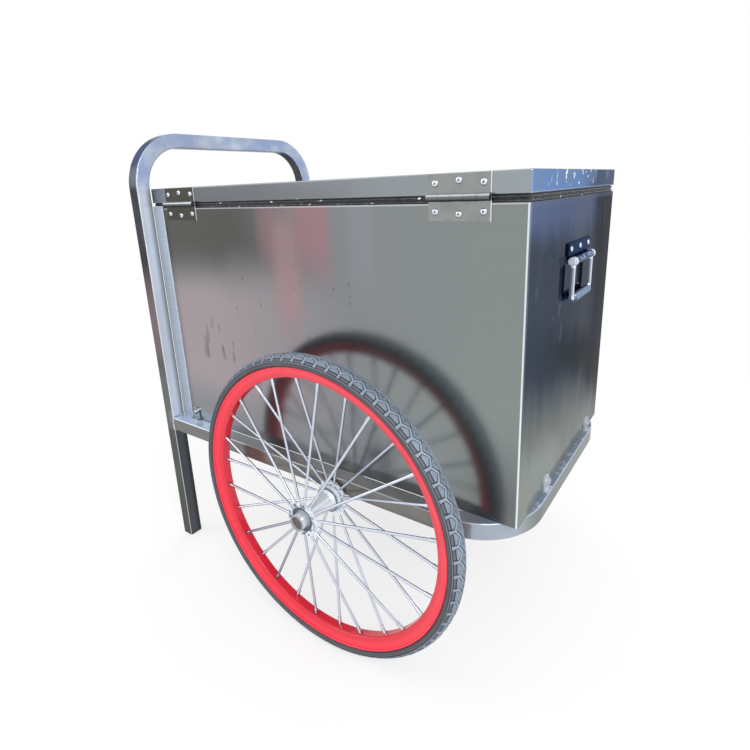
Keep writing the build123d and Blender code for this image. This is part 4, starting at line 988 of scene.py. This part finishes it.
def tread_unit(sizes, skin):
    """One pitch of the tread round the wheel's middle, from the diamond on the crown to the ribs."""
    pitch = math.tau * TYRE_RADIUS / sizes.tread_count
    points, faces, worn = [], [], []

    def spot(turn, across, rise):
        place, out = skin.at(across)
        place = place + out * rise
        angle = turn / TYRE_RADIUS + sizes.tread_start
        return place.x * math.sin(angle), place.y, place.x * math.cos(angle)

    def block(rows, foot, top, inset, tone):
        """A block over rows of (across, start, end), from a foot below the skin to a top of a tone."""
        first = len(points)
        ends = (rows[0][0], rows[-1][0])
        centre_across = sum(ends) / 2
        for level, shrink in ((foot, 0.0), (top, inset)):
            for across, start, end in rows:
                pull = math.copysign(shrink, centre_across - across) if across in ends else 0
                trim = min(shrink, (end - start) / 2)
                points.append(spot(start + trim, across + pull, level))
                points.append(spot(end - trim, across + pull, level))
                worn.extend([tone if level == top else 0.0] * 2)
        count = len(rows)
        low, high = first, first + 2 * count
        for row in range(count - 1):
            a, b = 2 * row, 2 * row + 2
            faces.append((high + a, high + a + 1, high + b + 1, high + b))
            faces.append((low + a, high + a, high + b, low + b))
            faces.append((low + a + 1, low + b + 1, high + b + 1, high + a + 1))
        for a in (0, 2 * count - 2):
            faces.append((low + a, low + a + 1, high + a + 1, high + a))

    depth = sizes.tread_depth
    line = sizes.tread_groove
    web = sizes.web_width
    half = sizes.diamond_width / 2
    far = pitch / 2
    slope = half / far
    inner = half + line
    outer = inner + web
    long = far - line * 0.7
    block([(-half, 0, 0), (-half * 0.5, -long / 2, long / 2), (0, -long, long),
           (half * 0.5, -long / 2, long / 2), (half, 0, 0)],
          -depth, -0.0002, 0.0003, TREAD_TONES["diamond"])
    block([(-half * 0.3, 0, 0), (0, -long * 0.3, long * 0.3), (half * 0.3, 0, 0)],
          -depth, -0.0001, 0.0001, TREAD_TONES["dimple"])
    stem = web * 0.66
    notch = outer - half + line * 0.6
    shoulder = notch + slope * (far - stem - line * 0.4)
    flank_width = 0.0066
    flank = skin.shoulder - flank_width
    for side in (-1, 1):
        for way in (-1, 1):
            rows = [(inner - half, far, far), (outer - half, (inner - outer + half) / slope, far),
                    (inner, 0.0, (outer - inner) / slope), (outer, 0.0, 0.0)]
            rows.sort()
            block([(side * across, *sorted((way * start, way * end))) for across, start, end in rows],
                  -depth, 0.0, 0.0001, TREAD_TONES["web"])
        block([(side * across, -wide, wide) for across, wide in (
            (outer - web * 0.4, stem), ((outer + flank) / 2, stem), (flank, stem),
            (skin.shoulder - 0.0012, stem * 1.25))], -depth, 0.0, 0.0003, TREAD_TONES["stem"])
        start = stem + line * 0.35
        end = pitch - stem - line * 0.95
        middle_turn = (start + end) / 2
        block([(side * across, middle_turn - wide, middle_turn + wide) for across, wide in (
            (notch, 0.0006), (shoulder, (end - start) / 2), ((shoulder + flank) / 2, (end - start) / 2),
            (flank - line * 0.3, (end - start) / 2))], -depth, -0.0001, 0.0005, TREAD_TONES["block"])
        block([(side * across, start + 0.0008, end - 0.0004) for across in (
            flank + line * 0.2, flank + 0.0026, skin.shoulder - 0.0018)],
              -depth, -0.0011, 0.0004, TREAD_TONES["flank"])
        block([(side * (skin.shoulder - 0.0004), -far, far), (side * (skin.shoulder + 0.0010), -far, far)],
              -0.0012, 0.0, 0.0002, TREAD_TONES["ring"])
        step = pitch / sizes.rib_count
        span = skin.edge - skin.shoulder
        for rib in range(sizes.rib_count):
            begin = rib * step + step * 0.22 - far
            block([(side * (skin.shoulder + span * share), begin, begin + step * 0.5)
                   for share in (0.56, 0.70, 0.86)],
                  -0.0004, sizes.rib_height, 0.0003, TREAD_TONES["rib"])
    return points, faces, worn


def carcass_section(sizes, skin):
    """The closed line of the carcass as radius and offset, sunk under the tread, with its foot in the rim."""
    steps = 16
    fade = 0.006
    section = []
    for step in range(-steps, steps + 1):
        along = skin.edge * step / steps
        place, out = skin.at(along)
        share = min(max((skin.shoulder + fade - abs(along)) / fade, 0.0), 1.0)
        section.append(place - out * sizes.tread_depth * share * 0.95)
    lip = section[-1].x
    foot = RIM_RADIUS - 0.0195
    lip_half, foot_half = 0.0128, 0.0062
    for corner in ((lip, lip_half), (foot, foot_half), (foot, -foot_half), (lip, -lip_half)):
        section.append(Vector(corner))
    return section


def socket_of(tree, name):
    """Identifier of a tree's named input."""
    return next(
        item.identifier
        for item in tree.interface.items_tree
        if item.item_type == "SOCKET" and item.in_out == "INPUT" and item.name == name
    )


def new_tree(name, inputs):
    """A geometry tree with named inputs. Gives the tree and its inputs by name."""
    tree = bpy.data.node_groups.new(name, "GeometryNodeTree")
    tree.interface.new_socket("Geometry", in_out="INPUT", socket_type="NodeSocketGeometry")
    for label, kind in inputs.items():
        tree.interface.new_socket(label, in_out="INPUT", socket_type=kind)
    tree.interface.new_socket("Geometry", in_out="OUTPUT", socket_type="NodeSocketGeometry")
    source = Shade(tree).make("NodeGroupInput")
    return tree, {label: source.other(label) for label in ("Geometry", *inputs)}


def end_tree(made, material):
    """Realize what a tree made, give it its material and pass it out."""
    made = made.make("GeometryNodeRealizeInstances", None, {"Geometry": made})
    made = made.make("GeometryNodeSetMaterial", None, {"Geometry": made, "Material": material})
    made.make("NodeGroupOutput", None, {"Geometry": made})


def wheel_ring_tree():
    """Repeats the piece's own mesh round a wheel's axle."""
    tree, given = new_tree(
        "wheel_ring",
        {"Count": "NodeSocketInt", "Centre": "NodeSocketVector", "Material": "NodeSocketMaterial"},
    )
    source = given["Geometry"]
    points = source.make("GeometryNodePoints", None, {0: given["Count"], 1: given["Centre"]})
    index = source.make("GeometryNodeInputIndex")
    angle = index * math.tau / given["Count"]
    turn = source.make("ShaderNodeCombineXYZ", None, {"Y": angle})
    made = source.make(
        "GeometryNodeInstanceOnPoints", None, {"Points": points, "Instance": source, "Rotation": turn}
    )
    end_tree(made, given["Material"])
    return tree


def weld_tree():
    """Lays overlapping ripples along the piece's own edges."""
    tree, given = new_tree(
        "weld_ripples",
        {"Pitch": "NodeSocketFloat", "Width": "NodeSocketFloat", "Material": "NodeSocketMaterial"},
    )
    source = given["Geometry"]
    path = source.make("GeometryNodeMeshToCurve", None, {"Mesh": source})
    path = source.make(
        "GeometryNodeResampleCurve", {"mode": "LENGTH"}, {"Curve": path, "Length": given["Pitch"]}
    )
    along = source.make("GeometryNodeInputTangent")
    turn = source.make("FunctionNodeAlignRotationToVector", {"axis": "X"}, {"Vector": along})
    ripple = source.make("GeometryNodeMeshUVSphere", None, {"Segments": 10, "Rings": 6, "Radius": 0.5})
    chance = source.make(
        "FunctionNodeRandomValue", {"data_type": "FLOAT"}, {2: 0.85, 3: 1.1, "Seed": 11}, output=1
    )
    width = given["Width"] * chance
    size = source.make(
        "ShaderNodeCombineXYZ", None, {"X": given["Pitch"] * 2.1, "Y": width, "Z": width}
    )
    made = source.make(
        "GeometryNodeInstanceOnPoints",
        None,
        {"Points": path, "Instance": ripple, "Rotation": turn, "Scale": size},
    )
    end_tree(made, given["Material"])
    return tree


def run_tree(piece, tree, values):
    """Give a piece the tree's result as a plain mesh."""
    modifier = piece.modifiers.new(tree.name, "NODES")
    modifier.node_group = tree
    for name, value in values.items():
        modifier[socket_of(tree, name)] = value
    bpy.context.view_layer.update()
    shown = piece.evaluated_get(bpy.context.evaluated_depsgraph_get())
    mesh = bpy.data.meshes.new_from_object(shown)
    piece.modifiers.remove(modifier)
    piece.data = mesh
    if not len(mesh.polygons):
        raise RuntimeError(f"{piece.name}: the tree made no faces")


def grown_piece(name, mesh, tree, values, body):
    """A piece that a tree makes out of a first mesh: linked, on its body."""
    piece = bpy.data.objects.new(name, mesh)
    bpy.context.scene.collection.objects.link(piece)
    run_tree(piece, tree, values)
    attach(piece, body)
    return piece


def seat_tree():
    """Sets the piece's own faces on each of its loose seat points, all turned one way."""
    tree, given = new_tree("rivet_seats", {"Turn": "NodeSocketVector", "Material": "NodeSocketMaterial"})
    source = given["Geometry"]
    seat = source.make("GeometryNodeInputNamedAttribute", {"data_type": "BOOLEAN"}, {"Name": "seat"})
    seats = source.make(
        "GeometryNodeSeparateGeometry", {"domain": "POINT"}, {"Geometry": source, "Selection": seat}
    )
    made = source.make(
        "GeometryNodeInstanceOnPoints",
        None,
        {"Points": seats, "Instance": seats.other("Inverted"), "Rotation": given["Turn"]},
    )
    end_tree(made, given["Material"])
    return tree


FLOOR_RADIUS = 14.0
LAMP_AIM = Vector((0, 0, 0.42))
LAMPS = {
    "key_lamp": {"place": (2.3, -1.9, 2.7), "size": 1.5, "power": 46.0, "mirrored": True},
    "end_lamp": {"place": (2.9, 0.2, 1.5), "size": 1.2, "power": 16.0, "mirrored": False},
    "fill_lamp": {"place": (-2.4, -2.0, 1.9), "size": 1.8, "power": 18.0, "mirrored": True},
    "back_lamp": {"place": (-1.6, 2.4, 2.4), "size": 1.6, "power": 14.0, "mirrored": False},
}


def white_rays(tree):
    """1 for the rays that see white surroundings: from the camera, off metal and through glass."""
    path = Shade(tree).make("ShaderNodeLightPath", output="Is Camera Ray")
    return between(path + path.other("Is Glossy Ray") + path.other("Is Transmission Ray"), 0.0, 1.0)


def studio_floor(scene):
    """A pale disc that keeps the cart's shadow and fades into the white surroundings."""
    material, shader, place = new_finish("studio_floor")
    x, y, _ = axes(place)
    reach = (x * x + y * y) ** 0.5
    dress(shader, Base_Color=rgba(scene.cart_colours.floor), Roughness=0.9, Specular_IOR_Level=0.0)
    white = place.make("ShaderNodeEmission", None, {"Color": (1, 1, 1, 1), "Strength": 1.0})
    near_white, shadow_end, white_start = 0.66, 0.7, 2.4
    share = near_white + between(reach, shadow_end, white_start) * (1 - near_white)
    share = share * white_rays(place.tree)
    pale = Shade(place.tree, shader.outputs[0])
    mixed = place.make("ShaderNodeMixShader", None, {0: share, 1: pale, 2: white})
    output = place.tree.nodes["Material Output"]
    place.tree.links.new(mixed.socket, output.inputs["Surface"])
    disc = bmesh.new()
    bmesh.ops.create_circle(disc, cap_ends=True, radius=FLOOR_RADIUS, segments=96)
    mesh = bpy.data.meshes.new("studio_floor")
    disc.to_mesh(mesh)
    disc.free()
    mesh.materials.append(material)
    floor = bpy.data.objects.new("studio_floor", mesh)
    scene.collection.objects.link(floor)


def studio_world(scene):
    """White surroundings that light the cart a little less than they show."""
    world = bpy.data.worlds.new("studio_world")
    world.use_nodes = True
    scene.world = world
    tree = world.node_tree
    ground = tree.nodes["Background"]
    ground.inputs["Color"].default_value = (1, 1, 1, 1)
    light = 0.86
    strength = light + white_rays(tree) * (1 - light)
    tree.links.new(strength.socket, ground.inputs["Strength"])


def studio_lamps(scene):
    """Soft lamps that look at the cart's middle. Two of them aren't seen in polished sheet."""
    for name, lamp in LAMPS.items():
        light = bpy.data.lights.new(name, "AREA")
        light.size = lamp["size"]
        light.energy = lamp["power"]
        holder = bpy.data.objects.new(name, light)
        holder.location = lamp["place"]
        holder.visible_glossy = lamp["mirrored"]
        sight = LAMP_AIM - Vector(lamp["place"])
        holder.rotation_euler = sight.to_track_quat("-Z", "Y").to_euler()
        scene.collection.objects.link(holder)


def studio_camera(scene):
    """The camera, turned, tilted and rolled as the view's settings say."""
    view = scene.cart_view
    ahead = Vector((
        -math.cos(view.tilt) * math.sin(view.turn),
        math.cos(view.tilt) * math.cos(view.turn),
        -math.sin(view.tilt),
    ))
    right = Vector((math.cos(view.turn), math.sin(view.turn), 0))
    up = right.cross(ahead)
    level = math.cos(view.roll) * right + math.sin(view.roll) * up
    upright = math.cos(view.roll) * up - math.sin(view.roll) * right
    lens = bpy.data.cameras.new("studio_camera")
    lens.lens = view.lens
    lens.sensor_width = 36.0
    lens.shift_x, lens.shift_y = view.shift
    lens.clip_start = 0.01
    camera = bpy.data.objects.new("studio_camera", lens)
    turn = Matrix((level, upright, -ahead)).transposed().to_4x4()
    camera.matrix_world = Matrix.Translation(view.place) @ turn
    scene.collection.objects.link(camera)
    scene.camera = camera


class CART_OT_stage(bpy.types.Operator):
    """Make the studio: floor, white surroundings, soft lamps and the camera"""

    bl_idname = "cart.stage"
    bl_label = "Studio"

    def execute(self, context):
        scene = context.scene
        studio_floor(scene)
        studio_world(scene)
        studio_lamps(scene)
        studio_camera(scene)
        scene.view_settings.view_transform = "Standard"
        return {"FINISHED"}


class CART_OT_rivets(bpy.types.Operator):
    """Set the domed rivets of the hinges and the carry handle"""

    bl_idname = "cart.rivets"
    bl_label = "Rivets"

    def execute(self, context):
        sizes = context.scene.cart_sizes
        material = rivet_finish(context.scene.cart_colours)
        tree = seat_tree()
        to_near = (math.pi / 2, 0.0, 0.0)
        to_front = (0.0, math.pi / 2, 0.0)
        rows = {
            "upper_hinge_rivets": ("lid", to_near),
            "lower_hinge_rivets": ("cart", to_near),
            "carry_rivets": ("cart", to_front),
        }
        for node, (body, turn) in rows.items():
            seats = []
            for low, high in seats_of(node):
                seat = (low + high) / 2
                if turn is to_near:
                    seat.y = low.y + sizes.rivet_height
                else:
                    seat.x = high.x - sizes.rivet_height
                seats.append(tuple(seat))
            name = f"domed_{node}"
            mesh = rivet_mesh(name, sizes, seats)
            values = {"Turn": turn, "Material": material}
            piece = grown_piece(name, mesh, tree, values, body)
            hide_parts(node)
        return {"FINISHED"}


class CART_OT_frame_tubes(bpy.types.Operator):
    """Finish the hoop, the base frame and the cross tubes"""

    bl_idname = "cart.frame_tubes"
    bl_label = "Frame tubes"

    def execute(self, context):
        material = tube_finish(context.scene.cart_colours)
        paint(material, "handle_hoop", "leg_end_plates", "base_frame", "rear_cross_tube", "middle_cross_tube")
        return {"FINISHED"}


class CART_OT_welds(bpy.types.Operator):
    """Lay the weld beads of the frame and the saddles"""

    bl_idname = "cart.welds"
    bl_label = "Welds"

    def execute(self, context):
        sizes = context.scene.cart_sizes
        points, edges = [], []

        def bead(*places):
            first = len(points)
            points.extend(places)
            edges.extend((first + step, first + step + 1) for step in range(len(places) - 1))

        low, high = TUBE_LOW.z, TUBE_HIGH.z
        lap, corner = 0.004, 0.002
        inner = lap - CHEST_LOW.y
        outer = TUBE_HIGH.y
        join_x = HOOP_HIGH.x
        for side in (-1, 1):
            bead(
                (join_x, side * inner, low),
                (join_x, side * (outer - corner), low),
                (join_x, side * outer, low + corner),
                (join_x, side * outer, high - corner),
                (join_x, side * (outer - corner), high),
                (join_x, side * inner, high),
            )
            for node in ("rear_cross_tube", "middle_cross_tube"):
                start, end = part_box(node)
                bead(
                    (start.x, side * end.y, high - lap),
                    (start.x, side * end.y, low + corner),
                    (start.x + corner, side * end.y, low),
                    (end.x - corner, side * end.y, low),
                    (end.x, side * end.y, low + corner),
                    (end.x, side * end.y, high - lap),
                )
            for x in (SADDLE_LOW.x, SADDLE_HIGH.x):
                bead((x, side * (outer - lap), low), (x, side * inner, low))
        mesh = bpy.data.meshes.new("weld_beads")
        mesh.from_pydata(points, edges, [])
        material = weld_finish(context.scene.cart_colours)
        values = {"Pitch": sizes.weld_pitch, "Width": sizes.weld_width, "Material": material}
        grown_piece("weld_beads", mesh, weld_tree(), values, "cart")
        return {"FINISHED"}


class CART_OT_chest(bpy.types.Operator):
    """Finish the panels, the boards, the liner and the top rim of the chest"""

    bl_idname = "cart.chest"
    bl_label = "Chest"

    def execute(self, context):
        colours = context.scene.cart_colours
        paint(side_panel_finish(colours), "near_side_panel", "far_side_panel", "floor_panel")
        paint(front_panel_finish(colours), "front_end_panel")
        paint(rear_panel_finish(colours), "rear_end_panel")
        paint(inner_finish(colours), "inner_liner", "top_rim", "lid_liner")
        paint(
            foam_finish(colours),
            "floor_board", "near_board", "far_board", "front_board", "rear_board", "lid_foam",
        )
        return {"FINISHED"}


class CART_OT_lid(bpy.types.Operator):
    """Finish the lid and make its ridged gasket"""

    bl_idname = "cart.lid"
    bl_label = "Lid and gasket"

    def execute(self, context):
        colours = context.scene.cart_colours
        ridge = context.scene.cart_sizes.gasket_ridge
        paint(lid_finish(colours), "lid_skin")
        bottom = GASKET_LOW.z
        tall = GASKET_HIGH.z - bottom
        width, least = 0.020, 0.0005
        section = [(ridge * 0.6, 0.0), (0.0, 0.12), (0.0, 0.30), (ridge, 0.38), (ridge, 0.50),
                   (ridge * 0.1, 0.58), (ridge * 0.1, 0.78), (ridge, 0.86), (ridge, 1.0),
                   (width * 0.5, 1.0), (width, 1.0), (width, 0.62), (width - ridge, 0.5), (width, 0.38),
                   (width, 0.0), (width * 0.5, 0.0)]
        middle_x = (GASKET_LOW.x + GASKET_HIGH.x) / 2
        half_x = (GASKET_HIGH.x - GASKET_LOW.x) / 2
        half_y = GASKET_HIGH.y
        corner = context.scene.cart_sizes.gasket_corner
        rows = []
        for quarter, (sign_x, sign_y) in enumerate(((1, 1), (-1, 1), (-1, -1), (1, -1))):
            for step in range(7):
                angle = math.pi / 2 * (quarter + step / 6)
                rows.append((sign_x, sign_y, math.cos(angle), math.sin(angle)))
        points = []
        for sign_x, sign_y, way_x, way_y in rows:
            for inset, share in section:
                bend = max(corner - inset, least)
                edge = inset + least if inset > corner else corner
                x = sign_x * (half_x - edge) + way_x * bend
                y = sign_y * (half_y - edge) + way_y * bend
                points.append((middle_x + x, y, bottom + tall * share))
        mesh = closed_mesh("ridged_gasket", points, rings_of_faces(len(rows), len(section)))
        piece = new_piece("ridged_gasket", mesh, gasket_finish(colours), "lid")
        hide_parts("lid_gasket")
        return {"FINISHED"}


class CART_OT_hinges(bpy.types.Operator):
    """Finish the hinges"""

    bl_idname = "cart.hinges"
    bl_label = "Hinges"

    def execute(self, context):
        leaves = [f"{end}_hinge_{leaf}_leaf" for end in ("front", "rear") for leaf in ("upper", "lower")]
        paint(hinge_finish(context.scene.cart_colours), "hinge_pins", *leaves)
        return {"FINISHED"}


class CART_OT_carry_handle(bpy.types.Operator):
    """Finish the carry handle and the lugs of the chest"""

    bl_idname = "cart.carry_handle"
    bl_label = "Carry handle and lugs"

    def execute(self, context):
        colours = context.scene.cart_colours
        paint(plate_finish(colours), "carry_plate")
        paint(chrome_finish(colours), "carry_bail", "carry_pin")
        paint(lug_finish(colours), "box_lugs", "lug_bolts")
        paint(grip_finish(colours), "carry_grip")
        return {"FINISHED"}


class CART_OT_tyres(bpy.types.Operator):
    """Make the tyres: a smooth carcass with blocks and ribs repeated round it"""

    bl_idname = "cart.tyres"
    bl_label = "Tyres"

    def execute(self, context):
        sizes = context.scene.cart_sizes
        colours = context.scene.cart_colours
        skin = TyreSkin(sizes)
        tree = wheel_ring_tree()
        section = carcass_section(sizes, skin)
        steps = 192
        for side, body in WHEELS.items():
            centre = middle(f"{side}_tyre")
            points = []
            for step in range(steps):
                angle = math.tau * step / steps
                for radius, offset in section:
                    x, z = radius * math.sin(angle), radius * math.cos(angle)
                    points.append((centre.x + x, centre.y + offset, centre.z + z))
            name = f"{side}_tyre_carcass"
            mesh = closed_mesh(name, points, rings_of_faces(steps, len(section)), True)
            carcass = new_piece(name, mesh, sidewall_finish(colours, centre), body)
            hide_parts(f"{side}_tyre")

            name = f"{side}_tyre_tread"
            points, faces, worn = tread_unit(sizes, skin)
            unit = closed_mesh(name, points, faces, worn=worn)
            material = tread_finish(colours, centre)
            values = {"Count": sizes.tread_count, "Centre": centre[:], "Material": material}
            grown_piece(name, unit, tree, values, body)
        return {"FINISHED"}


class CART_OT_wheels(bpy.types.Operator):
    """Finish the rims, the spokes, the hubs and the axle"""

    bl_idname = "cart.wheels"
    bl_label = "Wheels and axle"

    def execute(self, context):
        colours = context.scene.cart_colours
        plug = plug_finish(colours)
        ring = ring_finish(colours)
        for side in WHEELS:
            centre = middle(f"{side}_rim")
            paint(rim_finish(colours, centre), f"{side}_rim")
            paint(zinc_finish(colours, centre), f"{side}_spokes", f"{side}_nipples", f"{side}_hub")
            paint(plug, f"{side}_hub_plug")
            paint(ring, f"{side}_dust_ring")
        steel = axle_finish(colours)
        paint(steel, "axle", "axle_nuts", "axle_saddles", "near_bearings", "far_bearings")
        return {"FINISHED"}


OPERATORS = (
    CART_OT_stage,
    CART_OT_frame_tubes,
    CART_OT_welds,
    CART_OT_chest,
    CART_OT_lid,
    CART_OT_hinges,
    CART_OT_rivets,
    CART_OT_carry_handle,
    CART_OT_tyres,
    CART_OT_wheels,
)


class CART_PT_sidebar(bpy.types.Panel):
    """Steps and settings of the cart"""

    bl_idname = "CART_PT_sidebar"
    bl_label = "Ice cream cart"
    bl_space_type = "VIEW_3D"
    bl_region_type = "UI"
    bl_category = "Cart"

    def draw(self, context):
        layout = self.layout
        for group in (context.scene.cart_sizes, context.scene.cart_colours, context.scene.cart_view):
            box = layout.box()
            for name in group.__annotations__:
                box.prop(group, name)
        for operator in OPERATORS:
            layout.operator(operator.bl_idname)


GROUPS = {"cart_sizes": CartSizes, "cart_colours": CartColours, "cart_view": CartView}
CLASSES = (*GROUPS.values(), *OPERATORS, CART_PT_sidebar)


def register():
    """Register the classes and hang the settings on the scene."""
    for entry in CLASSES:
        bpy.utils.register_class(entry)
    for name, group in GROUPS.items():
        setattr(bpy.types.Scene, name, PointerProperty(type=group))


def unregister():
    """Take the settings and the classes away again."""
    for name in GROUPS:
        delattr(bpy.types.Scene, name)
    for entry in reversed(CLASSES):
        bpy.utils.unregister_class(entry)


def main():
    """Dress the cart piece by piece."""
    register()
    bpy.ops.cart.stage()
    bpy.ops.cart.frame_tubes()
    bpy.ops.cart.welds()
    bpy.ops.cart.chest()
    bpy.ops.cart.lid()
    bpy.ops.cart.hinges()
    bpy.ops.cart.rivets()
    bpy.ops.cart.carry_handle()
    bpy.ops.cart.tyres()
    bpy.ops.cart.wheels()


if __name__ == "__main__":
    main()
